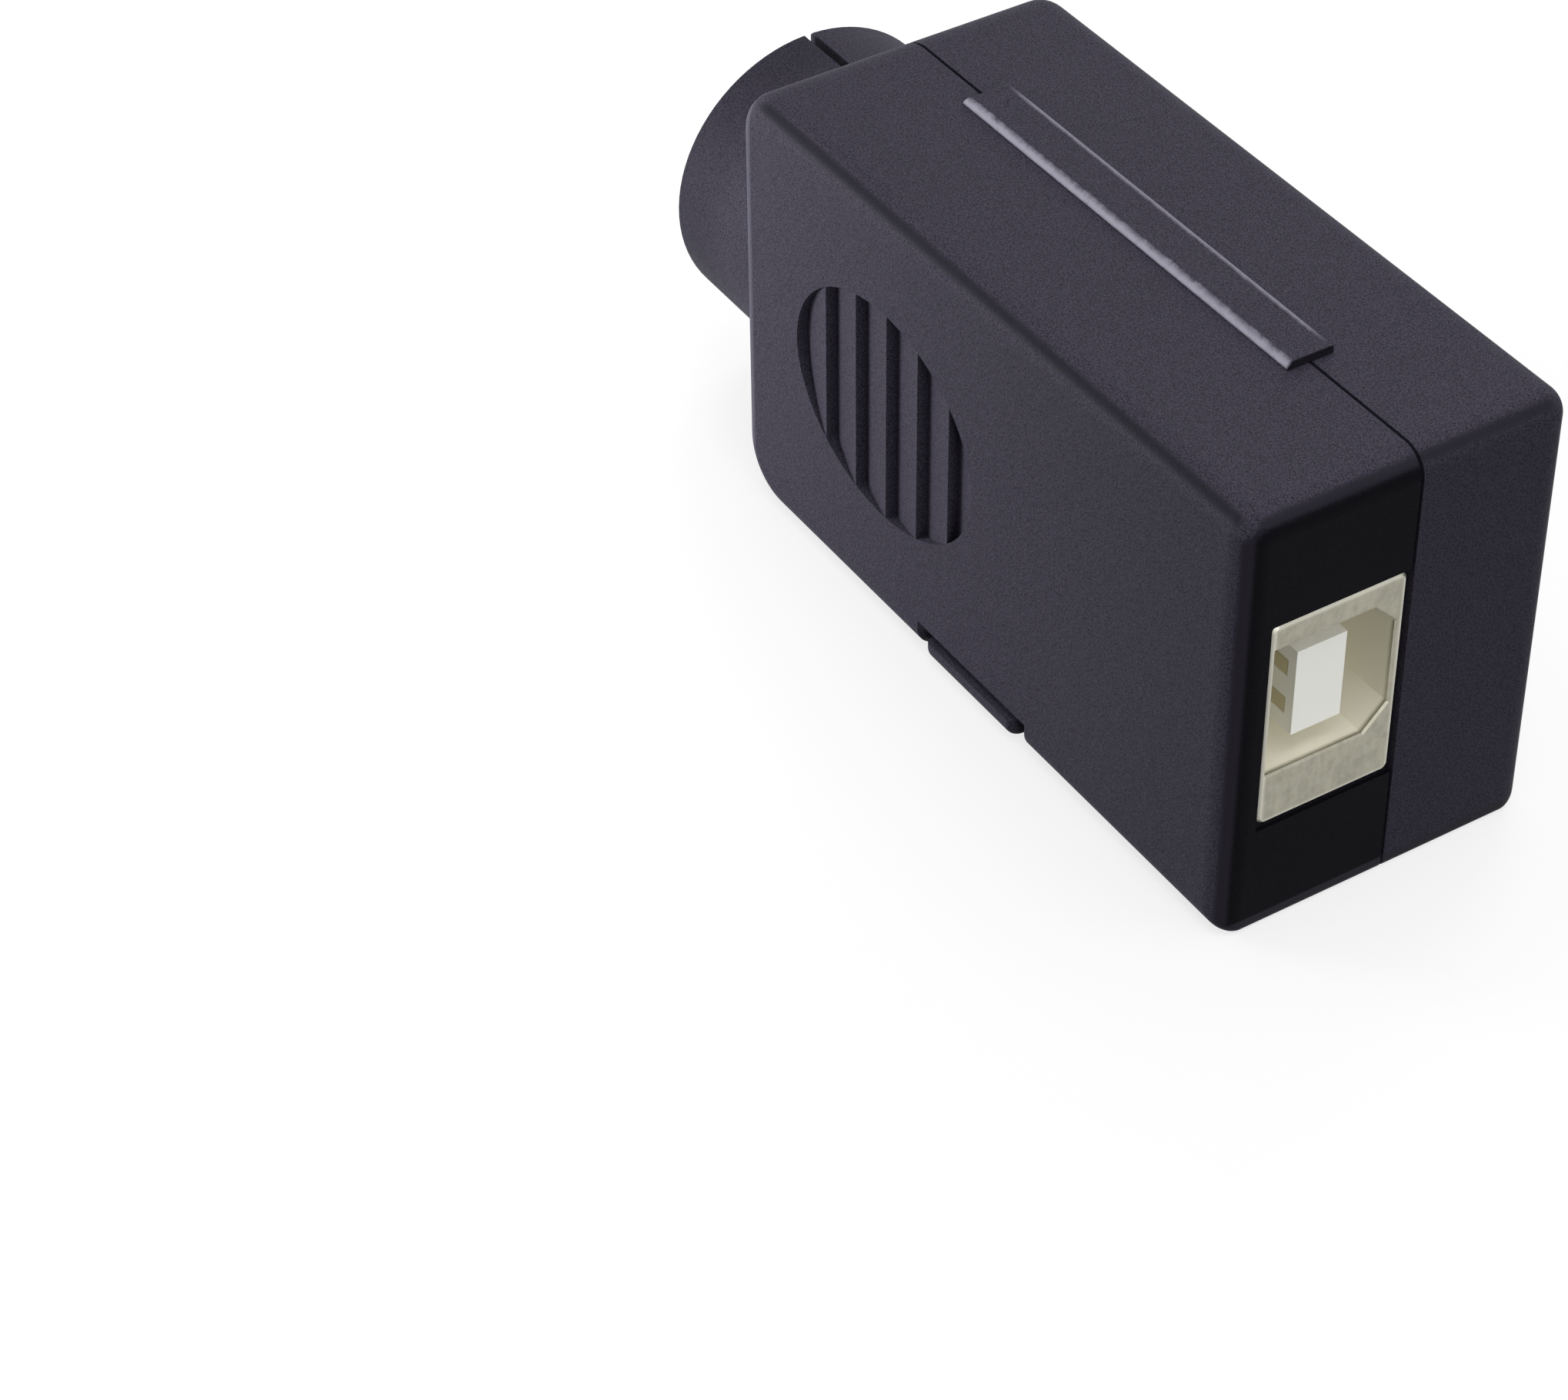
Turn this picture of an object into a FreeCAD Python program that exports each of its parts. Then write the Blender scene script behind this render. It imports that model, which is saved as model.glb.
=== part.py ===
import FreeCAD, Part
import os
from math import cos, radians, sin, tan
import Sketcher
from FreeCAD import Vector

# Black moulded adapter plug: a square USB type B socket in one end face and a round split
# collar with a contact insert on the other. Two half shells are joined along the top by a
# thin hinge band, and a snap tongue under the seam keeps them shut.
# +X runs towards the socket, +Y across the seam, +Z up. The origin is on the collar's axis,
# in the plane of the housing's back face, and the part stands on its narrow bottom face.

doc = FreeCAD.newDocument("adapter_plug")

# Driving dimensions, millimetres
DIMENSIONS = {
    # Housing outline, seen from the side
    "housing_length": 48.0,
    "housing_height": 28.0,
    "axis_rise": 13.1,
    "left_width": 11.0,
    "right_width": 9.85,
    "wall": 1.5,
    "seam_gap": 0.2,
    "top_front_round": 1.6,
    "top_back_round": 2.75,
    "bottom_back_round": 3.9,
    "bottom_front_round": 0.4,
    "left_side_round": 1.55,
    "right_side_round": 1.55,
    "inner_round": 0.6,
    # Collar
    "collar_radius": 9.3,
    "collar_length": 10.0,
    "collar_bore": 7.5,
    "collar_slot": 0.6,
    "collar_rim_chamfer": 0.25,
    "shoulder_overhang": 0.35,
    "shoulder_height": 0.25,
    # Finger grip in the left side face
    "grip_middle": 15.3,
    "grip_rise": 14.35,
    "grip_half_length": 8.95,
    "grip_half_height": 7.0,
    "grip_depth": 0.7,
    "grip_pitch": 3.12,
    # Hinge band
    "band_width": 3.0,
    "band_length": 29.8,
    "band_middle": 23.7,
    "band_thickness": 0.45,
    "band_lip": 0.08,
    "band_slope": 0.3,
    "band_far_round": 0.4,
    "band_edge_round": 0.1,
    "hinge_clearance": 0.04,
    # Snap tongue and its notch
    "tongue_middle": 24.5,
    "tongue_length": 8.5,
    "tongue_thickness": 1.45,
    "tongue_end_stand": 0.22,
    "tongue_under_round": 1.1,
    "tongue_end_round": 0.4,
    "tongue_root": 2.4,
    "tongue_lift": 0.12,
    "tongue_clearance": 0.12,
    "notch_length": 10.2,
    "notch_height": 2.1,
    "notch_floor": 1.2,
    "catch_height": 0.22,
    "catch_half_width": 1.3,
    "catch_inset": 2.6,
    "notch_chamfer": 0.3,
    # Locating pins between the halves
    "boss_radius": 1.6,
    "boss_rise": 1.4,
    "pin_radius": 0.75,
    "pin_length": 1.2,
    "pin_clearance": 0.08,
    "back_pin_place": 6.4,
    "front_pin_inset": 4.6,
    # Socket
    "socket_rise": 13.9,
    "socket_face_width": 13.4,
    "socket_face_height": 8.58,
    "socket_depth": 15.5,
    "socket_inset": 0.15,
    "socket_seam_distance": 0.15,
    "window_clearance": 0.2,
    "opening_width": 8.45,
    "opening_height": 7.78,
    "opening_corner": 1.5,
    "opening_side_margin": 0.3,
    "opening_lift": 0.85,
    "plug_depth": 8.9,
    "shield_sheet": 0.3,
    "shield_bend_round": 0.5,
    "shield_edge_chamfer": 0.15,
    "mouth_edge_chamfer": 0.12,
    "fit_clearance": 0.04,
    "blade_width": 5.6,
    "blade_height": 3.18,
    "blade_shift": 0.3,
    "blade_inset": 0.7,
    "contact_width": 1.0,
    "contact_thickness": 0.25,
    "contact_pitch": 2.5,
    # Circuit board
    "board_thickness": 1.2,
    "board_clearance": 0.15,
    "rib_thickness": 1.0,
    "rib_depth": 1.4,
    "rib_length": 3.6,
    # Contact insert
    "mouth_depth": 5.4,
    "flange_overhang": 0.45,
    "flange_thickness": 1.3,
    "stop_overlap": 2.2,
    "contact_circle": 4.2,
    "sleeve_radius": 0.8,
    "sleeve_bore": 0.5,
    "sleeve_bore_depth": 4.5,
    "tail_width": 0.9,
    "tail_thickness": 0.4,
    "tail_length": 3.2,
    "wire_radius": 0.5,
    "pad_pitch": 1.9,
    "pad_shift": 0.6,
    "pad_drop": 3.6,
    "lead_run_out": 6.5,
    "lead_run_in": 7.0,
}
CONTACT_COUNT = 5
TOOTH_COUNT = 6

# Each part on the board, millimetres: centre across the seam, centre above the board's lower
# edge, width, height and thickness
COMPONENTS = {
    "interface_chip": (2.8, 6.7, 7.0, 7.0, 1.2),
    "crystal": (-2.0, 1.75, 4.0, 2.6, 1.1),
    "voltage_regulator": (4.4, 12.1, 3.6, 3.0, 1.4),
    "capacitor_1": (-5.2, 1.6, 2.0, 1.25, 1.1),
    "capacitor_2": (1.4, 1.6, 2.0, 1.25, 1.1),
    "capacitor_3": (4.1, 1.6, 2.0, 1.25, 1.1),
    "resistor_1": (1.7, 11.5, 0.8, 1.6, 0.5),
    "resistor_2": (0.5, 11.5, 0.8, 1.6, 0.5),
    "resistor_3": (-0.7, 11.5, 0.8, 1.6, 0.5),
    "resistor_4": (0.9, 13.2, 1.6, 0.8, 0.5),
}
COMPONENT_SIZES = ("across", "rise", "width", "height", "thickness")

sizes = doc.addObject("Spreadsheet::Sheet", "Sizes")
entries = dict(DIMENSIONS)
for name, placing in COMPONENTS.items():
    for label, size in zip(COMPONENT_SIZES, placing):
        entries[f"{name}_{label}"] = size
for row, (alias, size) in enumerate(entries.items(), start=1):
    sizes.set(f"A{row}", alias)
    sizes.set(f"B{row}", str(size))
    sizes.setAlias(f"B{row}", alias)
doc.recompute()

# Places that several pieces share, as expressions on the sheet
BOTTOM = "(-<<Sizes>>.axis_rise)"
TOP = "(<<Sizes>>.housing_height - <<Sizes>>.axis_rise)"
END = "<<Sizes>>.housing_length"
WALL = "<<Sizes>>.wall"
SEAM = "(<<Sizes>>.seam_gap / 2)"
FACE_X = "(<<Sizes>>.housing_length - <<Sizes>>.socket_inset)"
SOCKET_Z = "(<<Sizes>>.socket_rise - <<Sizes>>.axis_rise)"
OPENING_Z = f"({SOCKET_Z} + <<Sizes>>.opening_lift)"
SOCKET_RIGHT = "(-<<Sizes>>.socket_seam_distance)"
SOCKET_LEFT = "(-<<Sizes>>.socket_seam_distance - <<Sizes>>.socket_face_height)"
OPENING_LEFT = f"({SOCKET_LEFT} + <<Sizes>>.opening_side_margin)"
OPENING_MIDDLE = f"({OPENING_LEFT} + <<Sizes>>.opening_height / 2)"
BLADE_MIDDLE = f"({OPENING_MIDDLE} - <<Sizes>>.blade_shift)"
BOARD_FRONT = f"({FACE_X} - <<Sizes>>.socket_depth)"
BOARD_BACK = f"({BOARD_FRONT} - <<Sizes>>.board_thickness)"
INSERT_FRONT = "(<<Sizes>>.mouth_depth - <<Sizes>>.collar_length)"
FLANGE_FRONT = "(<<Sizes>>.wall + <<Sizes>>.fit_clearance)"
FLANGE_BACK = f"({FLANGE_FRONT} + <<Sizes>>.flange_thickness)"
FLANGE_RADIUS = "(<<Sizes>>.collar_bore + <<Sizes>>.flange_overhang)"
DECK_TOP = f"({BOTTOM} + <<Sizes>>.notch_height + <<Sizes>>.notch_floor)"
BOARD_LOW = f"({DECK_TOP} + <<Sizes>>.board_clearance)"
BOARD_HIGH = f"({TOP} - {WALL} - <<Sizes>>.board_clearance)"
PIN_Z = f"({BOTTOM} + {WALL} + <<Sizes>>.boss_rise)"
PIN_PLACES = ("<<Sizes>>.back_pin_place", f"({END} - <<Sizes>>.front_pin_inset)")
# How far a cut runs past the surface that it opens, and a joined piece into its neighbour
BEYOND = "1"


def value(expression):
    """Number that an expression on the sheet gives now."""
    result = sizes.evalExpression(expression)
    return float(getattr(result, "Value", result))


def bind(feature, **expressions):
    """Tie properties of a feature to expressions, with __ for a dot in the path."""
    for path, expression in expressions.items():
        feature.setExpression(path.replace("__", "."), expression)


def add_body(name):
    body = doc.addObject("PartDesign::Body", name)
    body.Label = name
    return body


def add_sketch(body, name, role, offset="0"):
    """Sketch on one of the body's own origin planes, moved along its normal."""
    plane = next(f for f in body.Origin.OriginFeatures if f.Role == role)
    sketch = body.newObject("Sketcher::SketchObject", name)
    sketch.AttachmentSupport = [(plane, "")]
    sketch.MapMode = "FlatFace"
    bind(sketch, AttachmentOffset__Base__z=offset)
    return sketch


def draw_polygon(sketch, corners):
    """Closed outline of straight lines, each corner placed by two expressions."""
    points = [Vector(value(across), value(up), 0) for across, up in corners]
    first = len(sketch.Geometry)
    count = len(points)
    for i in range(count):
        sketch.addGeometry(Part.LineSegment(points[i], points[(i + 1) % count]), False)
    for i in range(count):
        sketch.addConstraint(
            Sketcher.Constraint("Coincident", first + i, 2, first + (i + 1) % count, 1)
        )
    for i, (across, up) in enumerate(corners):
        for kind, place, now in (("DistanceX", across, points[i].x), ("DistanceY", up, points[i].y)):
            index = sketch.addConstraint(Sketcher.Constraint(kind, -1, 1, first + i, 1, now))
            sketch.setExpression(f"Constraints[{index}]", place)


def rectangle(left, bottom, right, top):
    """Corners of an upright rectangle for draw_polygon."""
    return [(left, bottom), (right, bottom), (right, top), (left, top)]


def draw_half_disc(sketch, radius, side, setback):
    """Half disc about the sketch's origin, on one side of the seam plane."""
    reach = value(radius)
    edge = side * value(setback)
    tip = (reach**2 - edge**2) ** 0.5
    ends = [Vector(edge, -tip, 0), Vector(edge, tip, 0)]
    arc = Part.Arc(ends[0], Vector(side * reach, 0, 0), ends[1])
    sketch.addGeometry(arc, False)
    low, high = (1, 2) if sketch.Geometry[0].StartPoint.y < 0 else (2, 1)
    sketch.addGeometry(Part.LineSegment(ends[0], ends[1]), False)
    sketch.addConstraint(Sketcher.Constraint("Coincident", 0, 3, -1, 1))
    sketch.addConstraint(Sketcher.Constraint("Coincident", 0, low, 1, 1))
    sketch.addConstraint(Sketcher.Constraint("Coincident", 0, high, 1, 2))
    sketch.addConstraint(Sketcher.Constraint("Vertical", 1))
    index = sketch.addConstraint(Sketcher.Constraint("Radius", 0, reach))
    sketch.setExpression(f"Constraints[{index}]", radius)
    index = sketch.addConstraint(Sketcher.Constraint("DistanceX", -1, 1, 1, 1, edge))
    sketch.setExpression(f"Constraints[{index}]", f"{side} * {setback}")


def draw_circle(sketch, across, up, radius):
    """Circle with its centre and radius given by expressions."""
    centre = Vector(value(across), value(up), 0)
    circle = sketch.addGeometry(Part.Circle(centre, Vector(0, 0, 1), value(radius)), False)
    for kind, place, now in (("DistanceX", across, centre.x), ("DistanceY", up, centre.y)):
        index = sketch.addConstraint(Sketcher.Constraint(kind, -1, 1, circle, 3, now))
        sketch.setExpression(f"Constraints[{index}]", place)
    index = sketch.addConstraint(Sketcher.Constraint("Radius", circle, value(radius)))
    sketch.setExpression(f"Constraints[{index}]", radius)


def pad(body, name, sketch, length, backwards=False):
    feature = body.newObject("PartDesign::Pad", name)
    feature.Profile = sketch
    feature.Reversed = backwards
    bind(feature, Length=length)
    doc.recompute()
    return feature


def pocket(body, name, sketch, depth, backwards=False):
    before = body.Shape.Volume
    feature = body.newObject("PartDesign::Pocket", name)
    feature.Profile = sketch
    feature.Reversed = backwards
    bind(feature, Length=depth)
    doc.recompute()
    if not body.Shape.Volume < before:
        raise RuntimeError(f"{name} removes nothing")
    return feature


def block(body, kind, name, corner, lengths):
    """Box feature in a body; corner and lengths are expressions along X, Y and Z."""
    feature = body.newObject(f"PartDesign::{kind}Box", name)
    bind(feature, Length=lengths[0], Width=lengths[1], Height=lengths[2])
    bind(
        feature,
        Placement__Base__x=corner[0],
        Placement__Base__y=corner[1],
        Placement__Base__z=corner[2],
    )
    doc.recompute()
    return feature


def edges_at(shape, test):
    """Names of the edges whose middle passes the test."""
    names = []
    for number, edge in enumerate(shape.Edges, start=1):
        box = edge.BoundBox
        if test(edge, box.Center, box):
            names.append(f"Edge{number}")
    return names


def finish_edges(body, kind, name, test, **size):
    """Fillet or chamfer on the edges that pass the test."""
    names = edges_at(body.Shape, test)
    if not names:
        raise RuntimeError(f"{name} finds no edge")
    before = body.Tip
    feature = body.newObject(f"PartDesign::{kind}", name)
    feature.Base = (before, names)
    bind(feature, **size)
    doc.recompute()
    return feature


def round_edges(body, name, test, radius):
    return finish_edges(body, "Fillet", name, test, Radius=radius)


def chamfer_edges(body, name, test, size):
    return finish_edges(body, "Chamfer", name, test, Size=size)


# Edges and faces nearer than this are taken to be at the same place, millimetres
TOUCH = 0.01


def near(a, b):
    return abs(a - b) < TOUCH


def corner_edge(x, z):
    """Test for a straight edge across the housing at one corner of its outline."""
    return lambda edge, middle, box: (
        near(middle.x, value(x)) and near(middle.z, value(z)) and box.YLength > 1
    )


# Shells

def shell(side, name, width, side_round):
    """Half shell with its half of the collar; side is -1 for the left one, 1 for the right."""
    body = add_body(name)
    backwards = side > 0
    outline = add_sketch(body, f"{name}_outline", "XZ_Plane", f"{-side} * {SEAM}")
    draw_polygon(outline, rectangle("0", BOTTOM, END, TOP))
    pad(body, f"{name}_block", outline, f"{width} - {SEAM}", backwards)
    for label, x, z in (
        ("top_front", END, TOP),
        ("top_back", "0", TOP),
        ("bottom_back", "0", BOTTOM),
        ("bottom_front", END, BOTTOM),
    ):
        round_edges(body, f"{name}_{label}", corner_edge(x, z), f"<<Sizes>>.{label}_round")
    outer = side * value(width)
    round_edges(
        body,
        f"{name}_side",
        lambda edge, middle, box: near(middle.y, outer) and box.YLength < TOUCH,
        side_round,
    )
    collar = add_sketch(body, f"{name}_collar_disc", "YZ_Plane", WALL)
    draw_half_disc(collar, "<<Sizes>>.collar_radius", side, "(<<Sizes>>.collar_slot / 2)")
    pad(body, f"{name}_collar", collar, f"<<Sizes>>.collar_length + {WALL}", True)
    shoulder = add_sketch(body, f"{name}_shoulder_disc", "YZ_Plane", WALL)
    overhung = "(<<Sizes>>.collar_radius + <<Sizes>>.shoulder_overhang)"
    draw_half_disc(shoulder, overhung, side, "(<<Sizes>>.collar_slot / 2)")
    pad(body, f"{name}_shoulder", shoulder, f"<<Sizes>>.shoulder_height + {WALL}", True)
    rim = -value("<<Sizes>>.collar_length")
    reach = value("<<Sizes>>.collar_radius")
    chamfer_edges(
        body,
        f"{name}_rim",
        lambda edge, middle, box: near(middle.x, rim) and box.ZLength > reach and box.YLength > 1,
        "<<Sizes>>.collar_rim_chamfer",
    )
    hollow = add_sketch(body, f"{name}_cavity", "XZ_Plane", "0")
    inset = rectangle(WALL, f"{BOTTOM} + {WALL}", f"{END} - {WALL}", f"{TOP} - {WALL}")
    draw_polygon(hollow, inset)
    pocket(body, f"{name}_hollow", hollow, f"{width} - {WALL}", backwards=not backwards)
    for label, x, z in (
        ("top_front", inset[2][0], inset[2][1]),
        ("top_back", inset[3][0], inset[3][1]),
        ("bottom_back", inset[0][0], inset[0][1]),
        ("bottom_front", inset[1][0], inset[1][1]),
    ):
        round_edges(body, f"{name}_inner_{label}", corner_edge(x, z), "<<Sizes>>.inner_round")
    add_board_ribs(body, name, side, width)
    add_flange_ribs(body, name, side, width)
    add_bosses(body, name, side, width)
    bore = add_sketch(body, f"{name}_bore_disc", "YZ_Plane", WALL)
    draw_half_disc(bore, "<<Sizes>>.collar_bore", side, "(<<Sizes>>.seam_gap / 4)")
    pocket(body, f"{name}_bore", bore, f"<<Sizes>>.collar_length + {WALL}")
    return body


def add_board_ribs(body, name, side, width):
    """Pairs of ribs on the side wall that hold the edges of the circuit board."""
    start = f"-({width}) + {WALL}" if side < 0 else f"{width} - {WALL} - <<Sizes>>.rib_depth"
    gap = "<<Sizes>>.fit_clearance"
    places = {
        "front": f"{BOARD_FRONT} + {gap}",
        "back": f"{BOARD_BACK} - {gap} - <<Sizes>>.rib_thickness",
    }
    floor, ceiling = f"({BOTTOM} + {WALL})", f"({TOP} - {WALL})"
    reach = "<<Sizes>>.rib_length"
    levels = {
        "low": (floor, f"{BOARD_LOW} - {floor} + {reach}"),
        "high": (f"{BOARD_HIGH} - {reach}", f"{ceiling} - {BOARD_HIGH} + {reach}"),
    }
    for where, x in places.items():
        for level, (z, height) in levels.items():
            lengths = ("<<Sizes>>.rib_thickness", "<<Sizes>>.rib_depth", height)
            block(body, "Additive", f"{name}_rib_{where}_{level}", (x, start, z), lengths)


def add_flange_ribs(body, name, side, width):
    """Stops behind the contact insert's flange, above and below its contacts."""
    start = f"-({width}) + {WALL}" if side < 0 else SEAM
    reach = f"{width} - {WALL} - {SEAM}"
    x = f"{FLANGE_BACK} + <<Sizes>>.fit_clearance"
    edge = f"({FLANGE_RADIUS} - <<Sizes>>.stop_overlap)"
    floor, ceiling = f"({BOTTOM} + {WALL})", f"({TOP} - {WALL})"
    for level, z, height in (
        ("low", floor, f"-{edge} - {floor}"),
        ("high", edge, f"{ceiling} - {edge}"),
    ):
        lengths = ("<<Sizes>>.rib_thickness", reach, height)
        block(body, "Additive", f"{name}_stop_{level}", (x, start, z), lengths)


def add_bosses(body, name, side, width):
    """Round bosses from the side wall to the seam, standing on the floor, for the pins."""
    sketch = add_sketch(body, f"{name}_boss_discs", "XZ_Plane", f"{-side} * {SEAM}")
    for place in PIN_PLACES:
        draw_circle(sketch, place, PIN_Z, "<<Sizes>>.boss_radius")
    pad(body, f"{name}_bosses", sketch, f"{width} - {WALL} / 2 - {SEAM}", side > 0)


def locating_pins(body):
    """Pins on the left half's bosses, across the seam."""
    sketch = add_sketch(body, "pin_discs", "XZ_Plane", SEAM)
    for place in PIN_PLACES:
        draw_circle(sketch, place, PIN_Z, "<<Sizes>>.pin_radius")
    pad(body, "pins", sketch, f"{SEAM} + <<Sizes>>.pin_length", True)


def pin_holes(body):
    """Holes in the right half's bosses that take the pins."""
    gap = "<<Sizes>>.pin_clearance"
    sketch = add_sketch(body, "pin_hole_discs", "XZ_Plane", f"-{SEAM}")
    for place in PIN_PLACES:
        draw_circle(sketch, place, PIN_Z, f"<<Sizes>>.pin_radius + {gap}")
    pocket(body, "pin_holes", sketch, f"<<Sizes>>.pin_length + {gap} - {SEAM}")


def notch_profile(body, name, side, width):
    """Step for the snap tongue across the bottom, with the wall carried up over it."""
    left = "(<<Sizes>>.tongue_middle - <<Sizes>>.notch_length / 2)"
    if side < 0:
        start, reach = f"-({width}) + {WALL} / 2", f"{width} - {WALL} / 2 - {SEAM}"
        cut_start, cut_reach = f"-({width}) - {BEYOND}", f"{width} + {BEYOND}"
    else:
        start = SEAM
        reach = "<<Sizes>>.tongue_root + <<Sizes>>.tongue_clearance + <<Sizes>>.notch_floor"
        cut_start, cut_reach = "0", "<<Sizes>>.tongue_root + <<Sizes>>.tongue_clearance"
    block(
        body,
        "Additive",
        f"{name}_deck",
        (f"{left} - <<Sizes>>.notch_floor", start, f"{BOTTOM} + {WALL} / 2"),
        (
            "<<Sizes>>.notch_length + 2 * <<Sizes>>.notch_floor",
            reach,
            f"{DECK_TOP} - {BOTTOM} - {WALL} / 2",
        ),
    )
    block(
        body,
        "Subtractive",
        f"{name}_notch",
        (left, cut_start, f"{BOTTOM} - {BEYOND}"),
        ("<<Sizes>>.notch_length", cut_reach, f"<<Sizes>>.notch_height + {BEYOND}"),
    )


def notch_corners(body):
    """Chamfers where the notch's end walls meet the bottom and the side."""
    half = "<<Sizes>>.notch_length / 2"
    ends = [value(f"<<Sizes>>.tongue_middle {sign} {half}") for sign in "-+"]
    bottom = value(BOTTOM)
    chamfer_edges(
        body,
        "notch_corners",
        lambda edge, middle, box: box.YLength > 1
        and near(middle.z, bottom)
        and any(near(middle.x, end) for end in ends),
        "<<Sizes>>.notch_chamfer",
    )


CATCH_Y = "(-<<Sizes>>.left_width + <<Sizes>>.catch_inset)"


def catch_groove(body):
    """Shallow groove in the notch's ceiling that the tongue's ridge snaps into."""
    grow = "<<Sizes>>.tongue_clearance"
    left = "(<<Sizes>>.tongue_middle - <<Sizes>>.notch_length / 2)"
    ceiling = f"({BOTTOM} + <<Sizes>>.notch_height)"
    half = f"(<<Sizes>>.catch_half_width + 2 * {grow})"
    sketch = add_sketch(body, "catch_groove_outline", "YZ_Plane", left)
    draw_polygon(
        sketch,
        [
            (f"{CATCH_Y} - {half}", f"{ceiling} - {BEYOND}"),
            (f"{CATCH_Y} + {half}", f"{ceiling} - {BEYOND}"),
            (f"{CATCH_Y} + {half}", ceiling),
            (CATCH_Y, f"{ceiling} + <<Sizes>>.catch_height"),
            (f"{CATCH_Y} - {half}", ceiling),
        ],
    )
    pocket(body, "catch_groove", sketch, "<<Sizes>>.notch_length", backwards=True)


def socket_window(body):
    """Opening for the socket's face, reaching the seam."""
    gap = "<<Sizes>>.window_clearance"
    block(
        body,
        "Subtractive",
        "socket_window",
        (
            f"{END} - {WALL} - {BEYOND}",
            f"{SOCKET_LEFT} - {gap}",
            f"{SOCKET_Z} - <<Sizes>>.socket_face_width / 2 - {gap}",
        ),
        (
            f"{WALL} + 2 * {BEYOND}",
            f"-{SOCKET_LEFT} + {gap}",
            f"<<Sizes>>.socket_face_width + 2 * {gap}",
        ),
    )


def grip_cutter():
    """Saw teeth inside an oval: each tooth drops at its back edge and ramps out forwards."""
    body = add_body("grip_teeth")
    surface = "(-<<Sizes>>.left_width)"
    deep = f"({surface} + <<Sizes>>.grip_depth)"
    start = "(<<Sizes>>.grip_middle - <<Sizes>>.grip_half_length)"
    outside = f"{surface} - {BEYOND}"
    corners = [(start, outside)]
    for tooth in range(TOOTH_COUNT):
        edge = f"{start} + {tooth} * <<Sizes>>.grip_pitch"
        corners += [(edge, deep), (f"{edge} + <<Sizes>>.grip_pitch", surface)]
    corners.append((f"{start} + {TOOTH_COUNT} * <<Sizes>>.grip_pitch", outside))
    middle = "(<<Sizes>>.grip_rise - <<Sizes>>.axis_rise)"
    low = f"{middle} - <<Sizes>>.grip_half_height - {BEYOND}"
    teeth = add_sketch(body, "grip_teeth_outline", "XY_Plane", low)
    draw_polygon(teeth, corners)
    pad(body, "grip_teeth_pad", teeth, f"2 * (<<Sizes>>.grip_half_height + {BEYOND})")
    oval = doc.addObject("Part::Feature", "grip_oval")
    ellipse = Part.Ellipse(
        Vector(0, 0, 0), value("<<Sizes>>.grip_half_length"), value("<<Sizes>>.grip_half_height")
    )
    face = Part.Face(Part.Wire(ellipse.toShape()))
    oval.Shape = face.extrude(Vector(0, 0, value(f"<<Sizes>>.grip_depth + 2 * {BEYOND}")))
    spot = Vector(value("<<Sizes>>.grip_middle"), value(f"{deep} + {BEYOND}"), value(middle))
    oval.Placement = FreeCAD.Placement(spot, FreeCAD.Rotation(Vector(1, 0, 0), 90))
    cutter = doc.addObject("Part::Common", "grip_cutter")
    cutter.Base = body
    cutter.Tool = oval
    return cutter


def left_shell():
    body = shell(-1, "left_half", "<<Sizes>>.left_width", "<<Sizes>>.left_side_round")
    locating_pins(body)
    socket_window(body)
    notch_profile(body, "left_half", -1, "<<Sizes>>.left_width")
    notch_corners(body)
    catch_groove(body)
    cut = doc.addObject("Part::Cut", "left_shell")
    cut.Base = body
    cut.Tool = grip_cutter()
    doc.recompute()
    return cut


def right_shell():
    body = shell(1, "right_shell", "<<Sizes>>.right_width", "<<Sizes>>.right_side_round")
    pin_holes(body)
    notch_profile(body, "right_shell", 1, "<<Sizes>>.right_width")
    return body


# Hinge band and snap tongue

def hinge_band():
    """Raised strip over the seam, between the two fold lines, its left flank sloping."""
    body = add_body("hinge_band")
    half = "(<<Sizes>>.band_width / 2 - <<Sizes>>.hinge_clearance)"
    base = f"({TOP} + <<Sizes>>.hinge_clearance)"
    upper = f"({base} + <<Sizes>>.band_thickness)"
    far = "(<<Sizes>>.band_middle - <<Sizes>>.band_length / 2)"
    section = add_sketch(body, "band_section", "YZ_Plane", far)
    draw_polygon(
        section,
        [
            (f"-{half}", base),
            (half, base),
            (half, upper),
            (f"-{half} + <<Sizes>>.band_slope", upper),
            (f"-{half}", f"{base} + <<Sizes>>.band_lip"),
        ],
    )
    pad(body, "band_strip", section, "<<Sizes>>.band_length")
    far_place, crest, right = value(far), value(upper), value(half)
    round_edges(
        body,
        "band_far_end",
        lambda edge, middle, box: near(middle.x, far_place) and near(middle.z, crest),
        "<<Sizes>>.band_far_round",
    )
    round_edges(
        body,
        "band_right_edge",
        lambda edge, middle, box: near(middle.y, right) and near(middle.z, crest),
        "<<Sizes>>.band_edge_round",
    )
    return body


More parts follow.
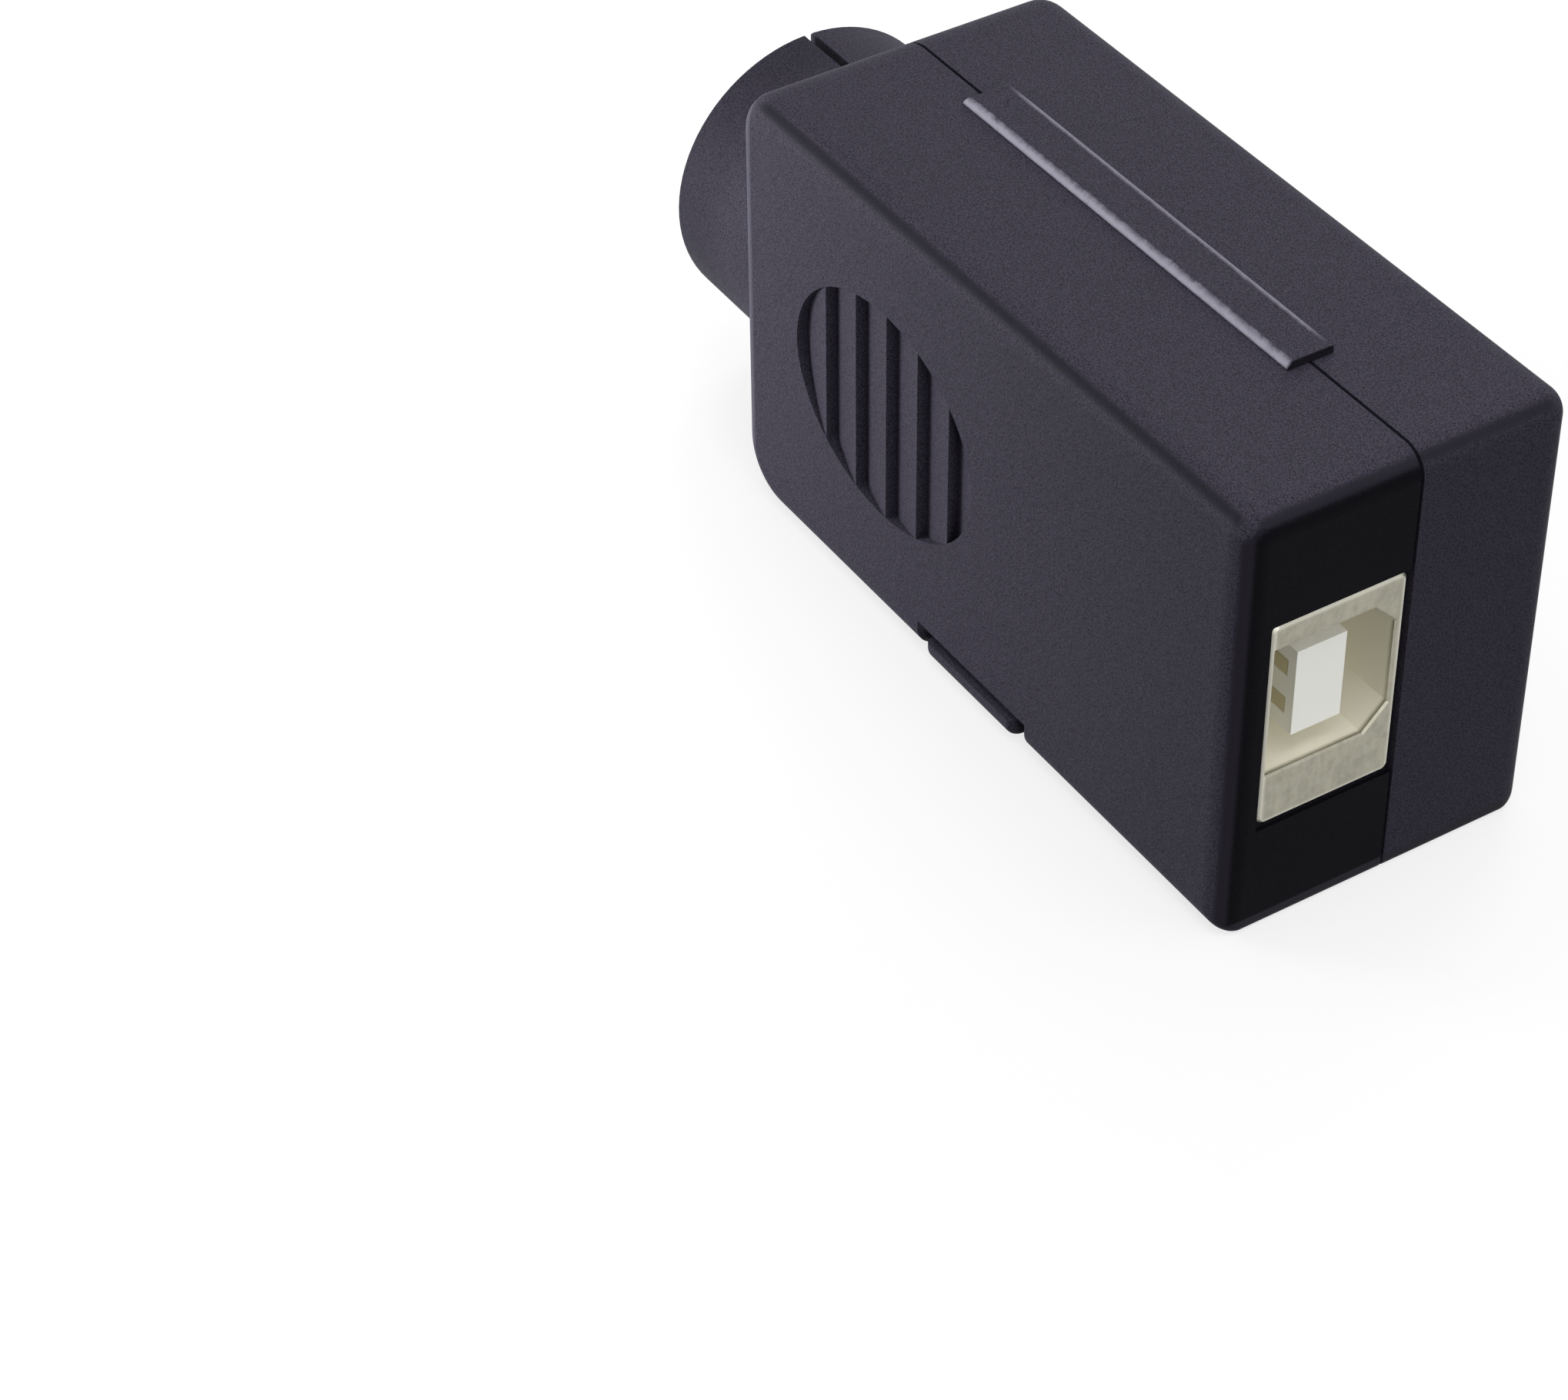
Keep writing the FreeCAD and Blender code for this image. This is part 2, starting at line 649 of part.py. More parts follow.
def latch_tongue():
    """Springy tongue from the right half that lies in the notch under the left half."""
    body = add_body("latch_tongue")
    low = f"({BOTTOM} + <<Sizes>>.tongue_lift)"
    high = f"({low} + <<Sizes>>.tongue_thickness)"
    ridge = f"({high} + <<Sizes>>.catch_height)"
    tip = "(-<<Sizes>>.left_width - <<Sizes>>.tongue_end_stand)"
    half = "<<Sizes>>.catch_half_width"
    start = "(<<Sizes>>.tongue_middle - <<Sizes>>.tongue_length / 2)"
    sketch = add_sketch(body, "tongue_section", "YZ_Plane", start)
    draw_polygon(
        sketch,
        [
            (tip, low),
            ("<<Sizes>>.tongue_root", low),
            ("<<Sizes>>.tongue_root", high),
            (f"{CATCH_Y} + {half}", high),
            (CATCH_Y, ridge),
            (f"{CATCH_Y} - {half}", high),
            (tip, high),
        ],
    )
    pad(body, "tongue_strip", sketch, "<<Sizes>>.tongue_length")
    foot, top_face, root, tip_face = (
        value(place) for place in (low, high, "<<Sizes>>.tongue_root", tip)
    )
    round_edges(
        body,
        "tongue_under",
        lambda edge, middle, box: near(middle.y, tip_face) and near(middle.z, foot),
        "<<Sizes>>.tongue_under_round",
    )
    round_edges(
        body,
        "tongue_ends",
        lambda edge, middle, box: box.XLength < TOUCH
        and middle.z < top_face - TOUCH
        and middle.y < root - TOUCH,
        "<<Sizes>>.tongue_end_round",
    )
    return body


# Socket

def opening_outline(grow="0"):
    """Square opening with two cut corners away from the board side, grown all round."""
    half = f"(<<Sizes>>.opening_width / 2 + {grow})"
    corner = f"(<<Sizes>>.opening_corner + {grow} * (2 - sqrt(2)))"
    left = f"{OPENING_LEFT} - {grow}"
    right = f"({OPENING_LEFT} + <<Sizes>>.opening_height + {grow})"
    return [
        (left, f"{OPENING_Z} - {half}"),
        (f"{right} - {corner}", f"{OPENING_Z} - {half}"),
        (right, f"{OPENING_Z} - {half} + {corner}"),
        (right, f"{OPENING_Z} + {half} - {corner}"),
        (f"{right} - {corner}", f"{OPENING_Z} + {half}"),
        (left, f"{OPENING_Z} + {half}"),
    ]


def socket_rectangle(inset="0"):
    half = f"(<<Sizes>>.socket_face_width / 2 - {inset})"
    return rectangle(
        f"{SOCKET_LEFT} + {inset}",
        f"{SOCKET_Z} - {half}",
        f"{SOCKET_RIGHT} - {inset}",
        f"{SOCKET_Z} + {half}",
    )


def usb_shield():
    """Folded sheet shell: face plate, outer walls and the sleeve that grips the plug."""
    body = add_body("usb_shield")
    sheet = "<<Sizes>>.shield_sheet"
    outer = add_sketch(body, "shield_outer", "YZ_Plane", FACE_X)
    draw_polygon(outer, socket_rectangle())
    pad(body, "shield_block", outer, "<<Sizes>>.socket_depth", True)
    inner = add_sketch(body, "shield_inner", "YZ_Plane", f"{FACE_X} - {sheet}")
    draw_polygon(inner, socket_rectangle(sheet))
    pocket(body, "shield_hollow", inner, "<<Sizes>>.socket_depth")
    sleeve = add_sketch(body, "shield_sleeve_outline", "YZ_Plane", FACE_X)
    draw_polygon(sleeve, opening_outline(sheet))
    pad(body, "shield_sleeve", sleeve, "<<Sizes>>.plug_depth", True)
    mouth = add_sketch(body, "shield_mouth_outline", "YZ_Plane", FACE_X)
    draw_polygon(mouth, opening_outline())
    pocket(body, "shield_mouth", mouth, "<<Sizes>>.socket_depth")
    soften_shield(body)
    return body


def soften_shield(body):
    """Bends at the shield's long corners, and broken edges round its face and mouth."""
    face = value(FACE_X)
    sides = [value(SOCKET_LEFT), value(SOCKET_RIGHT)]
    levels = [value(f"{SOCKET_Z} {sign} <<Sizes>>.socket_face_width / 2") for sign in "-+"]
    mouth = [value(OPENING_MIDDLE), value("<<Sizes>>.opening_height / 2")]
    mouth += [value(OPENING_Z), value("<<Sizes>>.opening_width / 2")]

    def on_side(middle):
        return any(near(middle.y, side) for side in sides)

    def on_level(middle):
        return any(near(middle.z, level) for level in levels)

    def in_face(box):
        return near(box.XMin, face) and near(box.XMax, face)

    def at_mouth(middle):
        across = abs(middle.y - mouth[0]) < mouth[1] + TOUCH
        return across and abs(middle.z - mouth[2]) < mouth[3] + TOUCH

    round_edges(
        body,
        "shield_bends",
        lambda edge, middle, box: on_side(middle) and on_level(middle),
        "<<Sizes>>.shield_bend_round",
    )
    chamfer_edges(
        body,
        "shield_face_edge",
        lambda edge, middle, box: in_face(box) and (on_side(middle) or on_level(middle)),
        "<<Sizes>>.shield_edge_chamfer",
    )
    chamfer_edges(
        body,
        "shield_mouth_edge",
        lambda edge, middle, box: in_face(box) and at_mouth(middle),
        "<<Sizes>>.mouth_edge_chamfer",
    )


CONTACT_PLACES = [(row, column) for row in (-1, 1) for column in (-1, 1)]


def contact_corner(row, column, grow="0"):
    """Low corner, across and up, of one contact strip on the blade."""
    thick = "<<Sizes>>.contact_thickness"
    half = "<<Sizes>>.blade_height / 2"
    y = f"{BLADE_MIDDLE} - {half}" if row < 0 else f"{BLADE_MIDDLE} + {half} - {thick}"
    z = f"{OPENING_Z} + {column} * <<Sizes>>.contact_pitch / 2 - <<Sizes>>.contact_width / 2"
    return f"{y} - {grow}", f"{z} - {grow}"


def usb_insulator():
    """Moulded core behind the sleeve, with the blade that carries the contacts."""
    body = add_body("usb_insulator")
    gap = "<<Sizes>>.fit_clearance"
    front = f"{FACE_X} - <<Sizes>>.shield_sheet - {gap}"
    block_outline = add_sketch(body, "core_outline", "YZ_Plane", front)
    draw_polygon(block_outline, socket_rectangle(f"(<<Sizes>>.shield_sheet + {gap})"))
    depth = f"<<Sizes>>.socket_depth - <<Sizes>>.shield_sheet - 2 * {gap}"
    pad(body, "core_block", block_outline, depth, True)
    recess = add_sketch(body, "core_recess_outline", "YZ_Plane", FACE_X)
    draw_polygon(recess, opening_outline(f"(<<Sizes>>.shield_sheet + {gap})"))
    pocket(body, "core_recess", recess, f"<<Sizes>>.plug_depth + {gap}")
    blade = add_sketch(body, "blade_outline", "YZ_Plane", f"{FACE_X} - <<Sizes>>.blade_inset")
    half_width = "<<Sizes>>.blade_width / 2"
    half_height = "<<Sizes>>.blade_height / 2"
    draw_polygon(
        blade,
        rectangle(
            f"{BLADE_MIDDLE} - {half_height}",
            f"{OPENING_Z} - {half_width}",
            f"{BLADE_MIDDLE} + {half_height}",
            f"{OPENING_Z} + {half_width}",
        ),
    )
    pad(body, "blade", blade, "<<Sizes>>.plug_depth", True)
    for number, (row, column) in enumerate(CONTACT_PLACES, start=1):
        y, z = contact_corner(row, column, gap)
        block(
            body,
            "Subtractive",
            f"contact_groove_{number}",
            (f"{BOARD_FRONT} - {BEYOND}", y, z),
            (
                f"<<Sizes>>.socket_depth - 2 * <<Sizes>>.blade_inset + {BEYOND} + {gap}",
                f"<<Sizes>>.contact_thickness + 2 * {gap}",
                f"<<Sizes>>.contact_width + 2 * {gap}",
            ),
        )
    return body


def usb_contact(number, row, column):
    """Flat contact strip, from near the blade's end to the board."""
    strip = doc.addObject("Part::Box", f"usb_contact_{number}")
    strip.Label = f"usb_contact_{number}"
    y, z = contact_corner(row, column)
    bind(
        strip,
        Length="<<Sizes>>.socket_depth - 2 * <<Sizes>>.blade_inset",
        Width="<<Sizes>>.contact_thickness",
        Height="<<Sizes>>.contact_width",
        Placement__Base__x=BOARD_FRONT,
        Placement__Base__y=y,
        Placement__Base__z=z,
    )
    return strip


# Circuit board and what is on it

def circuit_board():
    """Upright board, its edges between the ribs and its foot on the notch's deck."""
    body = add_body("circuit_board")
    gap = "<<Sizes>>.board_clearance"
    outline = add_sketch(body, "board_outline", "YZ_Plane", BOARD_BACK)
    left = f"-<<Sizes>>.left_width + {WALL} + {gap}"
    right = f"<<Sizes>>.right_width - {WALL} - {gap}"
    draw_polygon(outline, rectangle(left, BOARD_LOW, right, BOARD_HIGH))
    pad(body, "board_sheet", outline, "<<Sizes>>.board_thickness")
    round_edges(
        body,
        "board_corners",
        lambda edge, middle, box: box.YLength < TOUCH and box.ZLength < TOUCH,
        "<<Sizes>>.inner_round",
    )
    return body


def board_component(name):
    """Plain body of a part that is soldered on the board's back."""
    chip = doc.addObject("Part::Box", name)
    chip.Label = name
    across, rise, width, height, thickness = (f"<<Sizes>>.{name}_{label}" for label in COMPONENT_SIZES)
    bind(
        chip,
        Length=thickness,
        Width=width,
        Height=height,
        Placement__Base__x=f"{BOARD_BACK} - {thickness}",
        Placement__Base__y=f"{across} - {width} / 2",
        Placement__Base__z=f"{BOARD_LOW} + {rise} - {height} / 2",
    )
    return chip


# Contact insert in the collar

def contact_spot(number):
    """Across and up of one contact, evenly round the collar's axis."""
    angle = radians(90 + 360 * number / CONTACT_COUNT)
    circle = value("<<Sizes>>.contact_circle")
    return circle * cos(angle), circle * sin(angle)


def cylinder_along_x(name, radius, start, length, across=0.0, up=0.0):
    """Cylinder with its axis along +X, sized by expressions."""
    rod = doc.addObject("Part::Cylinder", name)
    bind(rod, Radius=radius, Height=length)
    rod.Placement = FreeCAD.Placement(
        Vector(0, across, up), FreeCAD.Rotation(Vector(0, 1, 0), 90)
    )
    bind(rod, Placement__Base__x=start)
    return rod


def fuse(name, pieces):
    joined = doc.addObject("Part::MultiFuse", name)
    joined.Shapes = pieces
    joined.Refine = True
    return joined


def contact_insert():
    """Round insulator in the collar's bore, with a flange behind the housing's back wall."""
    gap = "<<Sizes>>.fit_clearance"
    core = cylinder_along_x(
        "insert_core",
        f"<<Sizes>>.collar_bore - {gap}",
        INSERT_FRONT,
        f"{FLANGE_BACK} - {INSERT_FRONT}",
    )
    flange = cylinder_along_x(
        "insert_flange", FLANGE_RADIUS, FLANGE_FRONT, "<<Sizes>>.flange_thickness"
    )
    drills = []
    for number in range(CONTACT_COUNT):
        across, up = contact_spot(number)
        drill = cylinder_along_x(
            f"insert_hole_{number + 1}",
            f"<<Sizes>>.sleeve_radius + {gap}",
            f"{INSERT_FRONT} - {BEYOND}",
            f"{FLANGE_BACK} - {INSERT_FRONT} + 2 * {BEYOND}",
            across,
            up,
        )
        drills.append(drill)
    insert = doc.addObject("Part::Cut", "contact_insert")
    insert.Base = fuse("insert_solid", [core, flange])
    insert.Tool = fuse("insert_holes", drills)
    return insert


def contact_sleeve(number):
    """Contact: open sleeve to the front, flat solder tail to the back."""
    name = f"contact_sleeve_{number + 1}"
    across, up = contact_spot(number)
    barrel = cylinder_along_x(
        f"barrel_{number + 1}",
        "<<Sizes>>.sleeve_radius",
        INSERT_FRONT,
        f"{FLANGE_BACK} - {INSERT_FRONT}",
        across,
        up,
    )
    tail = doc.addObject("Part::Box", f"tail_{number + 1}")
    bind(
        tail,
        Length=f"<<Sizes>>.tail_length + {BEYOND}",
        Width="<<Sizes>>.tail_width",
        Height="<<Sizes>>.tail_thickness",
        Placement__Base__x=f"{FLANGE_BACK} - {BEYOND}",
        Placement__Base__y=f"{across} - <<Sizes>>.tail_width / 2",
        Placement__Base__z=f"{up} - <<Sizes>>.tail_thickness / 2",
    )
    drill = cylinder_along_x(
        f"sleeve_drill_{number + 1}",
        "<<Sizes>>.sleeve_bore",
        f"{INSERT_FRONT} - {BEYOND}",
        f"<<Sizes>>.sleeve_bore_depth + {BEYOND}",
        across,
        up,
    )
    sleeve = doc.addObject("Part::Cut", name)
    sleeve.Base = fuse(f"sleeve_solid_{number + 1}", [barrel, tail])
    sleeve.Tool = drill
    return sleeve


# Share of the shorter run beside a corner that the bend there takes
BEND_SHARE = 0.45
TUBE_SIDES = 6
# Largest share by which a tube's volume may differ from its section times its length
TUBE_ERROR = 0.02


def tube(points, radius):
    """Thin lead of six-sided section along straight runs joined by tangent arcs."""
    path = []
    start = points[0]
    for before, corner, after in zip(points, points[1:], points[2:]):
        into = (corner - before).normalize()
        out = (after - corner).normalize()
        turn = into.getAngle(out)
        shorter = min(corner.distanceToPoint(before), after.distanceToPoint(corner))
        run = BEND_SHARE * shorter
        bend = run / tan(turn / 2)
        first = corner - into * run
        last = corner + out * run
        toward = (out - into).normalize()
        middle = corner + toward * (bend / cos(turn / 2) - bend)
        path += [Part.LineSegment(start, first), Part.Arc(first, middle, last)]
        start = last
    path.append(Part.LineSegment(start, points[-1]))
    wire = Part.Wire([piece.toShape() for piece in path])
    turns = [radians(360 * (i + 0.5) / TUBE_SIDES) for i in range(TUBE_SIDES + 1)]
    ring = [points[0] + Vector(0, radius * cos(turn), radius * sin(turn)) for turn in turns]
    section = Part.Wire(Part.makePolygon(ring))
    solid = wire.makePipeShell([section], True, False)
    error = abs(solid.Volume / (Part.Face(section).Area * wire.Length) - 1)
    if error > TUBE_ERROR:
        raise RuntimeError("a tube's volume is not its section times its length")
    return solid


# Pad of each contact's lead, counted from the right shell's side of the board
LEAD_ORDER = [2, 4, 3, 1, 0]


def wire_lead(number):
    """Insulated lead from a contact's tail to its pad near the top of the board."""
    lead = doc.addObject("Part::Feature", f"wire_lead_{number + 1}")
    across, up = contact_spot(number)
    start = value(f"{FLANGE_BACK} + <<Sizes>>.tail_length")
    finish = value(BOARD_BACK)
    steps = (CONTACT_COUNT - 1) / 2 - LEAD_ORDER[number]
    pad_across = value(f"{steps} * <<Sizes>>.pad_pitch - <<Sizes>>.pad_shift")
    pad_up = value(f"{TOP} - {WALL} - <<Sizes>>.pad_drop")
    points = [
        Vector(start, across, up),
        Vector(start + value("<<Sizes>>.lead_run_out"), across, up),
        Vector(finish - value("<<Sizes>>.lead_run_in"), pad_across, pad_up),
        Vector(finish, pad_across, pad_up),
    ]
    lead.Shape = tube(points, value("<<Sizes>>.wire_radius"))
    return lead


nodes = {"left_shell": left_shell(), "right_shell": right_shell()}
nodes["hinge_band"] = hinge_band()
nodes["latch_tongue"] = latch_tongue()
nodes["usb_shield"] = usb_shield()
nodes["usb_insulator"] = usb_insulator()
for number, (row, column) in enumerate(CONTACT_PLACES, start=1):
    nodes[f"usb_contact_{number}"] = usb_contact(number, row, column)
nodes["circuit_board"] = circuit_board()
for name in COMPONENTS:
    nodes[name] = board_component(name)
nodes["contact_insert"] = contact_insert()
for number in range(CONTACT_COUNT):
    nodes[f"contact_sleeve_{number + 1}"] = contact_sleeve(number)
    nodes[f"wire_lead_{number + 1}"] = wire_lead(number)
doc.recompute()

broken = [item.Name for item in doc.Objects if {"Invalid", "Error"} & set(item.State)]
if broken:
    raise RuntimeError(f"features that failed: {broken}")
for name, item in nodes.items():
    if item.Shape.isNull() or not item.Shape.isValid():
        raise RuntimeError(f"{name} has no valid shape")

os.makedirs("parts", exist_ok=True)
for name, item in nodes.items():
    item.Shape.exportStep(f"parts/{name}.step")
    box = item.Shape.BoundBox
    print(
        f"{name}: {len(item.Shape.Solids)} solid, {item.Shape.Volume:.2f} mm3,",
        f"x {box.XMin:.2f} to {box.XMax:.2f}, y {box.YMin:.2f} to {box.YMax:.2f},",
        f"z {box.ZMin:.2f} to {box.ZMax:.2f}",
    )
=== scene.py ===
# %% [markdown]
# A black adapter plug: two moulded half shells hinged along the top, a square USB socket in one
# end and a round split collar on the other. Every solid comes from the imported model. This script
# gives each one its finish, adds the small things that the solids leave out, and sets up the
# floor, lights and camera. Blender works in metres, so MM turns millimetres into metres.

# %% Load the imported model
import math

import bmesh
import bpy
from mathutils import Matrix, Quaternion, Vector


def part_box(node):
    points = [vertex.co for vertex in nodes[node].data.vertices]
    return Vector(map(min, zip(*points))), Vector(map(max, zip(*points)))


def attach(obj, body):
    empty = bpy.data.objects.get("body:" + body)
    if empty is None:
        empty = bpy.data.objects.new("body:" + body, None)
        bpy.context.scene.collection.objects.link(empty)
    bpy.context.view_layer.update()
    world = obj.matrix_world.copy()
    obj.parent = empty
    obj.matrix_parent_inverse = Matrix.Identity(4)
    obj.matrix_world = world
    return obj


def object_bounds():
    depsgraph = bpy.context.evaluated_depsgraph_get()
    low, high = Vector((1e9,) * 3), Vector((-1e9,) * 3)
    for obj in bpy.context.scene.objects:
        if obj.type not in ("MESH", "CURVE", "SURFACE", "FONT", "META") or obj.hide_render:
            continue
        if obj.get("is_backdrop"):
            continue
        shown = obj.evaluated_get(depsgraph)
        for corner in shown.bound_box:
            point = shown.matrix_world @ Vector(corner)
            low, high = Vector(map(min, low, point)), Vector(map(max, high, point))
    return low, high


MM = 0.001
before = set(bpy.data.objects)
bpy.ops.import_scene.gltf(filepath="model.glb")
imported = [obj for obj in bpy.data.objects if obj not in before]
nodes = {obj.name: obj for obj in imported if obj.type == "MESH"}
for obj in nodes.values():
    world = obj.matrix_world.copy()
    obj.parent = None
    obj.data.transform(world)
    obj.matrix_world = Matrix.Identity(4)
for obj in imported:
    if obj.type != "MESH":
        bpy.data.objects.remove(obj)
cad_low, cad_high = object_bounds()
print("solids:", len(nodes), "box:", [round(v / MM, 1) for v in cad_high - cad_low], "mm")

# %% [markdown]
# Most places below come from the solids' own boxes, so that a finish stays with its solid when
# the model's sizes change.

# %% Places worked out from the solids
left_low, left_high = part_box("left_shell")
_, right_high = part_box("right_shell")
band_low, band_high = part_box("hinge_band")
shield_low, shield_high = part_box("usb_shield")
board_low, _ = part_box("circuit_board")
end_x = left_high.x
top_z = left_high.z
floor_z = left_low.z
for label, place in (("end", end_x), ("top", top_z), ("floor", floor_z)):
    print(label, "at", round(place / MM, 1), "mm")

# %% [markdown]
# Colours are written as they look on a screen, 0 to 255. The sRGB curve turns them into the
# linear values that Cycles works with.

# %% Colour helper
def tone(red, green, blue):
    """Linear colour, with alpha, of a colour read on a screen."""

    def linear(level):
        share = level / 255
        return share / 12.92 if share <= 0.04045 else ((share + 0.055) / 1.055) ** 2.4

    return (linear(red), linear(green), linear(blue), 1.0)


# %% [markdown]
# A material is a tree of nodes, and most of them are made the same way: add the node, set its
# sockets or link them. These helpers take a number or another node's socket for each input. A
# Mix node keeps sockets for numbers, vectors and colours side by side, so the places of those
# for mixing colours are named.

# %% Node helpers
MIX_SHARE, MIX_FIRST, MIX_SECOND = 0, 6, 7
MIX_RESULT = 2


def add_node(tree, kind, settings=None, **inputs):
    """Adds a node with its own settings; inputs are sockets by name, with _ for a space."""
    node = tree.nodes.new(kind)
    for name, setting in (settings or {}).items():
        setattr(node, name, setting)
    for name, entry in inputs.items():
        socket = node.inputs[name.replace("_", " ")]
        if isinstance(entry, bpy.types.NodeSocket):
            tree.links.new(entry, socket)
        else:
            socket.default_value = entry
    return node


def arithmetic(tree, operation, *entries):
    """Math node on two or three numbers or sockets; gives its result socket."""
    node = tree.nodes.new("ShaderNodeMath")
    node.operation = operation
    for place, entry in enumerate(entries):
        if isinstance(entry, bpy.types.NodeSocket):
            tree.links.new(entry, node.inputs[place])
        else:
            node.inputs[place].default_value = entry
    return node.outputs[0]


def blend_colour(tree, share, first, second, kind="MIX"):
    """Mix node of two colours; gives its result socket."""
    node = tree.nodes.new("ShaderNodeMix")
    node.data_type = "RGBA"
    node.blend_type = kind
    for place, entry in ((MIX_SHARE, share), (MIX_FIRST, first), (MIX_SECOND, second)):
        if isinstance(entry, bpy.types.NodeSocket):
            tree.links.new(entry, node.inputs[place])
        else:
            node.inputs[place].default_value = entry
    return node.outputs[MIX_RESULT]


# %% [markdown]
# Spark-eroded moulds leave a fine even grain on satin plastic. It is the same on the shells, the
# hinge band, the tongue and the socket's core, so it is one node group. It gives a height for the
# bump, the same grain with more contrast for the colour, and a slow patchy value for small
# changes of colour and gloss. The pattern is turned first, because a noise is weaker where a flat
# face lies exactly along its grid.

# %% Node group: mould grain
GRAIN_TURN = (0.4, 0.7, 0.2)
SPECKLE_FROM, SPECKLE_TO = 0.34, 0.64


def start_group(name, inputs, outputs):
    """Empty node group with float inputs and outputs, and its two end nodes."""
    group = bpy.data.node_groups.new(name, "ShaderNodeTree")
    for label, start in inputs:
        socket = group.interface.new_socket(label, in_out="INPUT", socket_type="NodeSocketFloat")
        socket.default_value = start
    for label in outputs:
        group.interface.new_socket(label, in_out="OUTPUT", socket_type="NodeSocketFloat")
    return group, group.nodes.new("NodeGroupInput"), group.nodes.new("NodeGroupOutput")


def make_mould_grain():
    group, source, result = start_group(
        "mould_grain",
        [("Grain Scale", 11000.0), ("Patch Scale", 90.0)],
        ["Height", "Speckle", "Patches"],
    )
    place = add_node(group, "ShaderNodeTexCoord")
    turned = add_node(group, "ShaderNodeMapping", Vector=place.outputs["Object"])
    turned.inputs["Rotation"].default_value = GRAIN_TURN
    fine = add_node(
        group,
        "ShaderNodeTexNoise",
        Vector=turned.outputs["Vector"],
        Scale=source.outputs["Grain Scale"],
        Detail=2.0,
        Roughness=0.6,
    )
    slow = add_node(
        group,
        "ShaderNodeTexNoise",
        Vector=place.outputs["Object"],
        Scale=source.outputs["Patch Scale"],
        Detail=3.0,
        Roughness=0.5,
    )
    speckle = add_node(
        group,
        "ShaderNodeMapRange",
        Value=fine.outputs["Fac"],
        From_Min=SPECKLE_FROM,
        From_Max=SPECKLE_TO,
    )
    group.links.new(fine.outputs["Fac"], result.inputs["Height"])
    group.links.new(speckle.outputs["Result"], result.inputs["Speckle"])
    group.links.new(slow.outputs["Fac"], result.inputs["Patches"])
    return group


mould_grain = make_mould_grain()
print(mould_grain.name, "has", len(mould_grain.nodes), "nodes")

# %% [markdown]
# Where a thin plastic hinge has been bent, it turns white in ragged lines along its folds. The
# band has two folds with lines of different strength, so this is a group too. It gives 1 on a
# line along the length at one place across the seam, and 0 away from it. Noise makes the line's
# sides ragged.

# %% Node group: whitened fold
LINE_EDGE = 1.1


def make_whitened_fold():
    group, source, result = start_group(
        "whitened_fold",
        [
            ("Across", 0.0),
            ("Half Width", 0.0002),
            ("Core", 0.3),
            ("Start", 0.0),
            ("End", 0.03),
            ("Fade", 0.001),
            ("Ragged", 0.5),
            ("Strength", 1.0),
        ],
        ["Mask"],
    )
    place = add_node(group, "ShaderNodeTexCoord")
    axes = add_node(group, "ShaderNodeSeparateXYZ", Vector=place.outputs["Object"])
    rough = add_node(
        group,
        "ShaderNodeTexNoise",
        Vector=place.outputs["Object"],
        Scale=1500.0,
        Detail=5.0,
        Roughness=0.7,
    )
    wander = arithmetic(group, "SUBTRACT", rough.outputs["Fac"], 0.5)
    wander = arithmetic(group, "MULTIPLY", wander, source.outputs["Ragged"])
    offset = arithmetic(group, "SUBTRACT", axes.outputs["Y"], source.outputs["Across"])
    offset = arithmetic(group, "ABSOLUTE", offset)
    offset = arithmetic(group, "DIVIDE", offset, source.outputs["Half Width"])
    offset = arithmetic(group, "ADD", offset, wander)
    line = add_node(
        group,
        "ShaderNodeMapRange",
        {"interpolation_type": "SMOOTHSTEP"},
        Value=offset,
        From_Min=source.outputs["Core"],
        From_Max=LINE_EDGE,
        To_Min=1.0,
        To_Max=0.0,
    )
    mask = line.outputs["Result"]
    along = axes.outputs["X"]
    for high, low in ((along, source.outputs["Start"]), (source.outputs["End"], along)):
        inside = arithmetic(group, "SUBTRACT", high, low)
        inside = arithmetic(group, "DIVIDE", inside, source.outputs["Fade"])
        inside = add_node(
            group, "ShaderNodeMapRange", {"interpolation_type": "SMOOTHSTEP"}, Value=inside
        )
        mask = arithmetic(group, "MULTIPLY", mask, inside.outputs["Result"])
    mask = arithmetic(group, "MULTIPLY", mask, source.outputs["Strength"])
    group.links.new(mask, result.inputs["Mask"])
    return group


whitened_fold = make_whitened_fold()
print(whitened_fold.name, "has", len(whitened_fold.nodes), "nodes")

# %% [markdown]
# The mould is textured on its flat faces, while its rounded edges stay smoother and a little
# glossier. Along their middle a dark line is painted on, as painted shade, and the edges round the
# back are painted paler, as a painted highlight. Both shells need that, so it is a group as well. A
# point on a rounded edge is close to two faces of the box at once. The group measures how near the
# point is to each face, multiplies these in pairs, and keeps the highest product of each kind of
# edge.

# %% Node group: painted edge shade and highlight
# Painted shade along the middle of the rounded edges: its thresholds, also used for the polish.
SHADE_AND_POLISH_FROM, SHADE_AND_POLISH_TO = 0.42, 0.52
# Painted highlight on the edges round the back: its thresholds.
HIGHLIGHT_FROM, HIGHLIGHT_TO = 0.46, 0.56


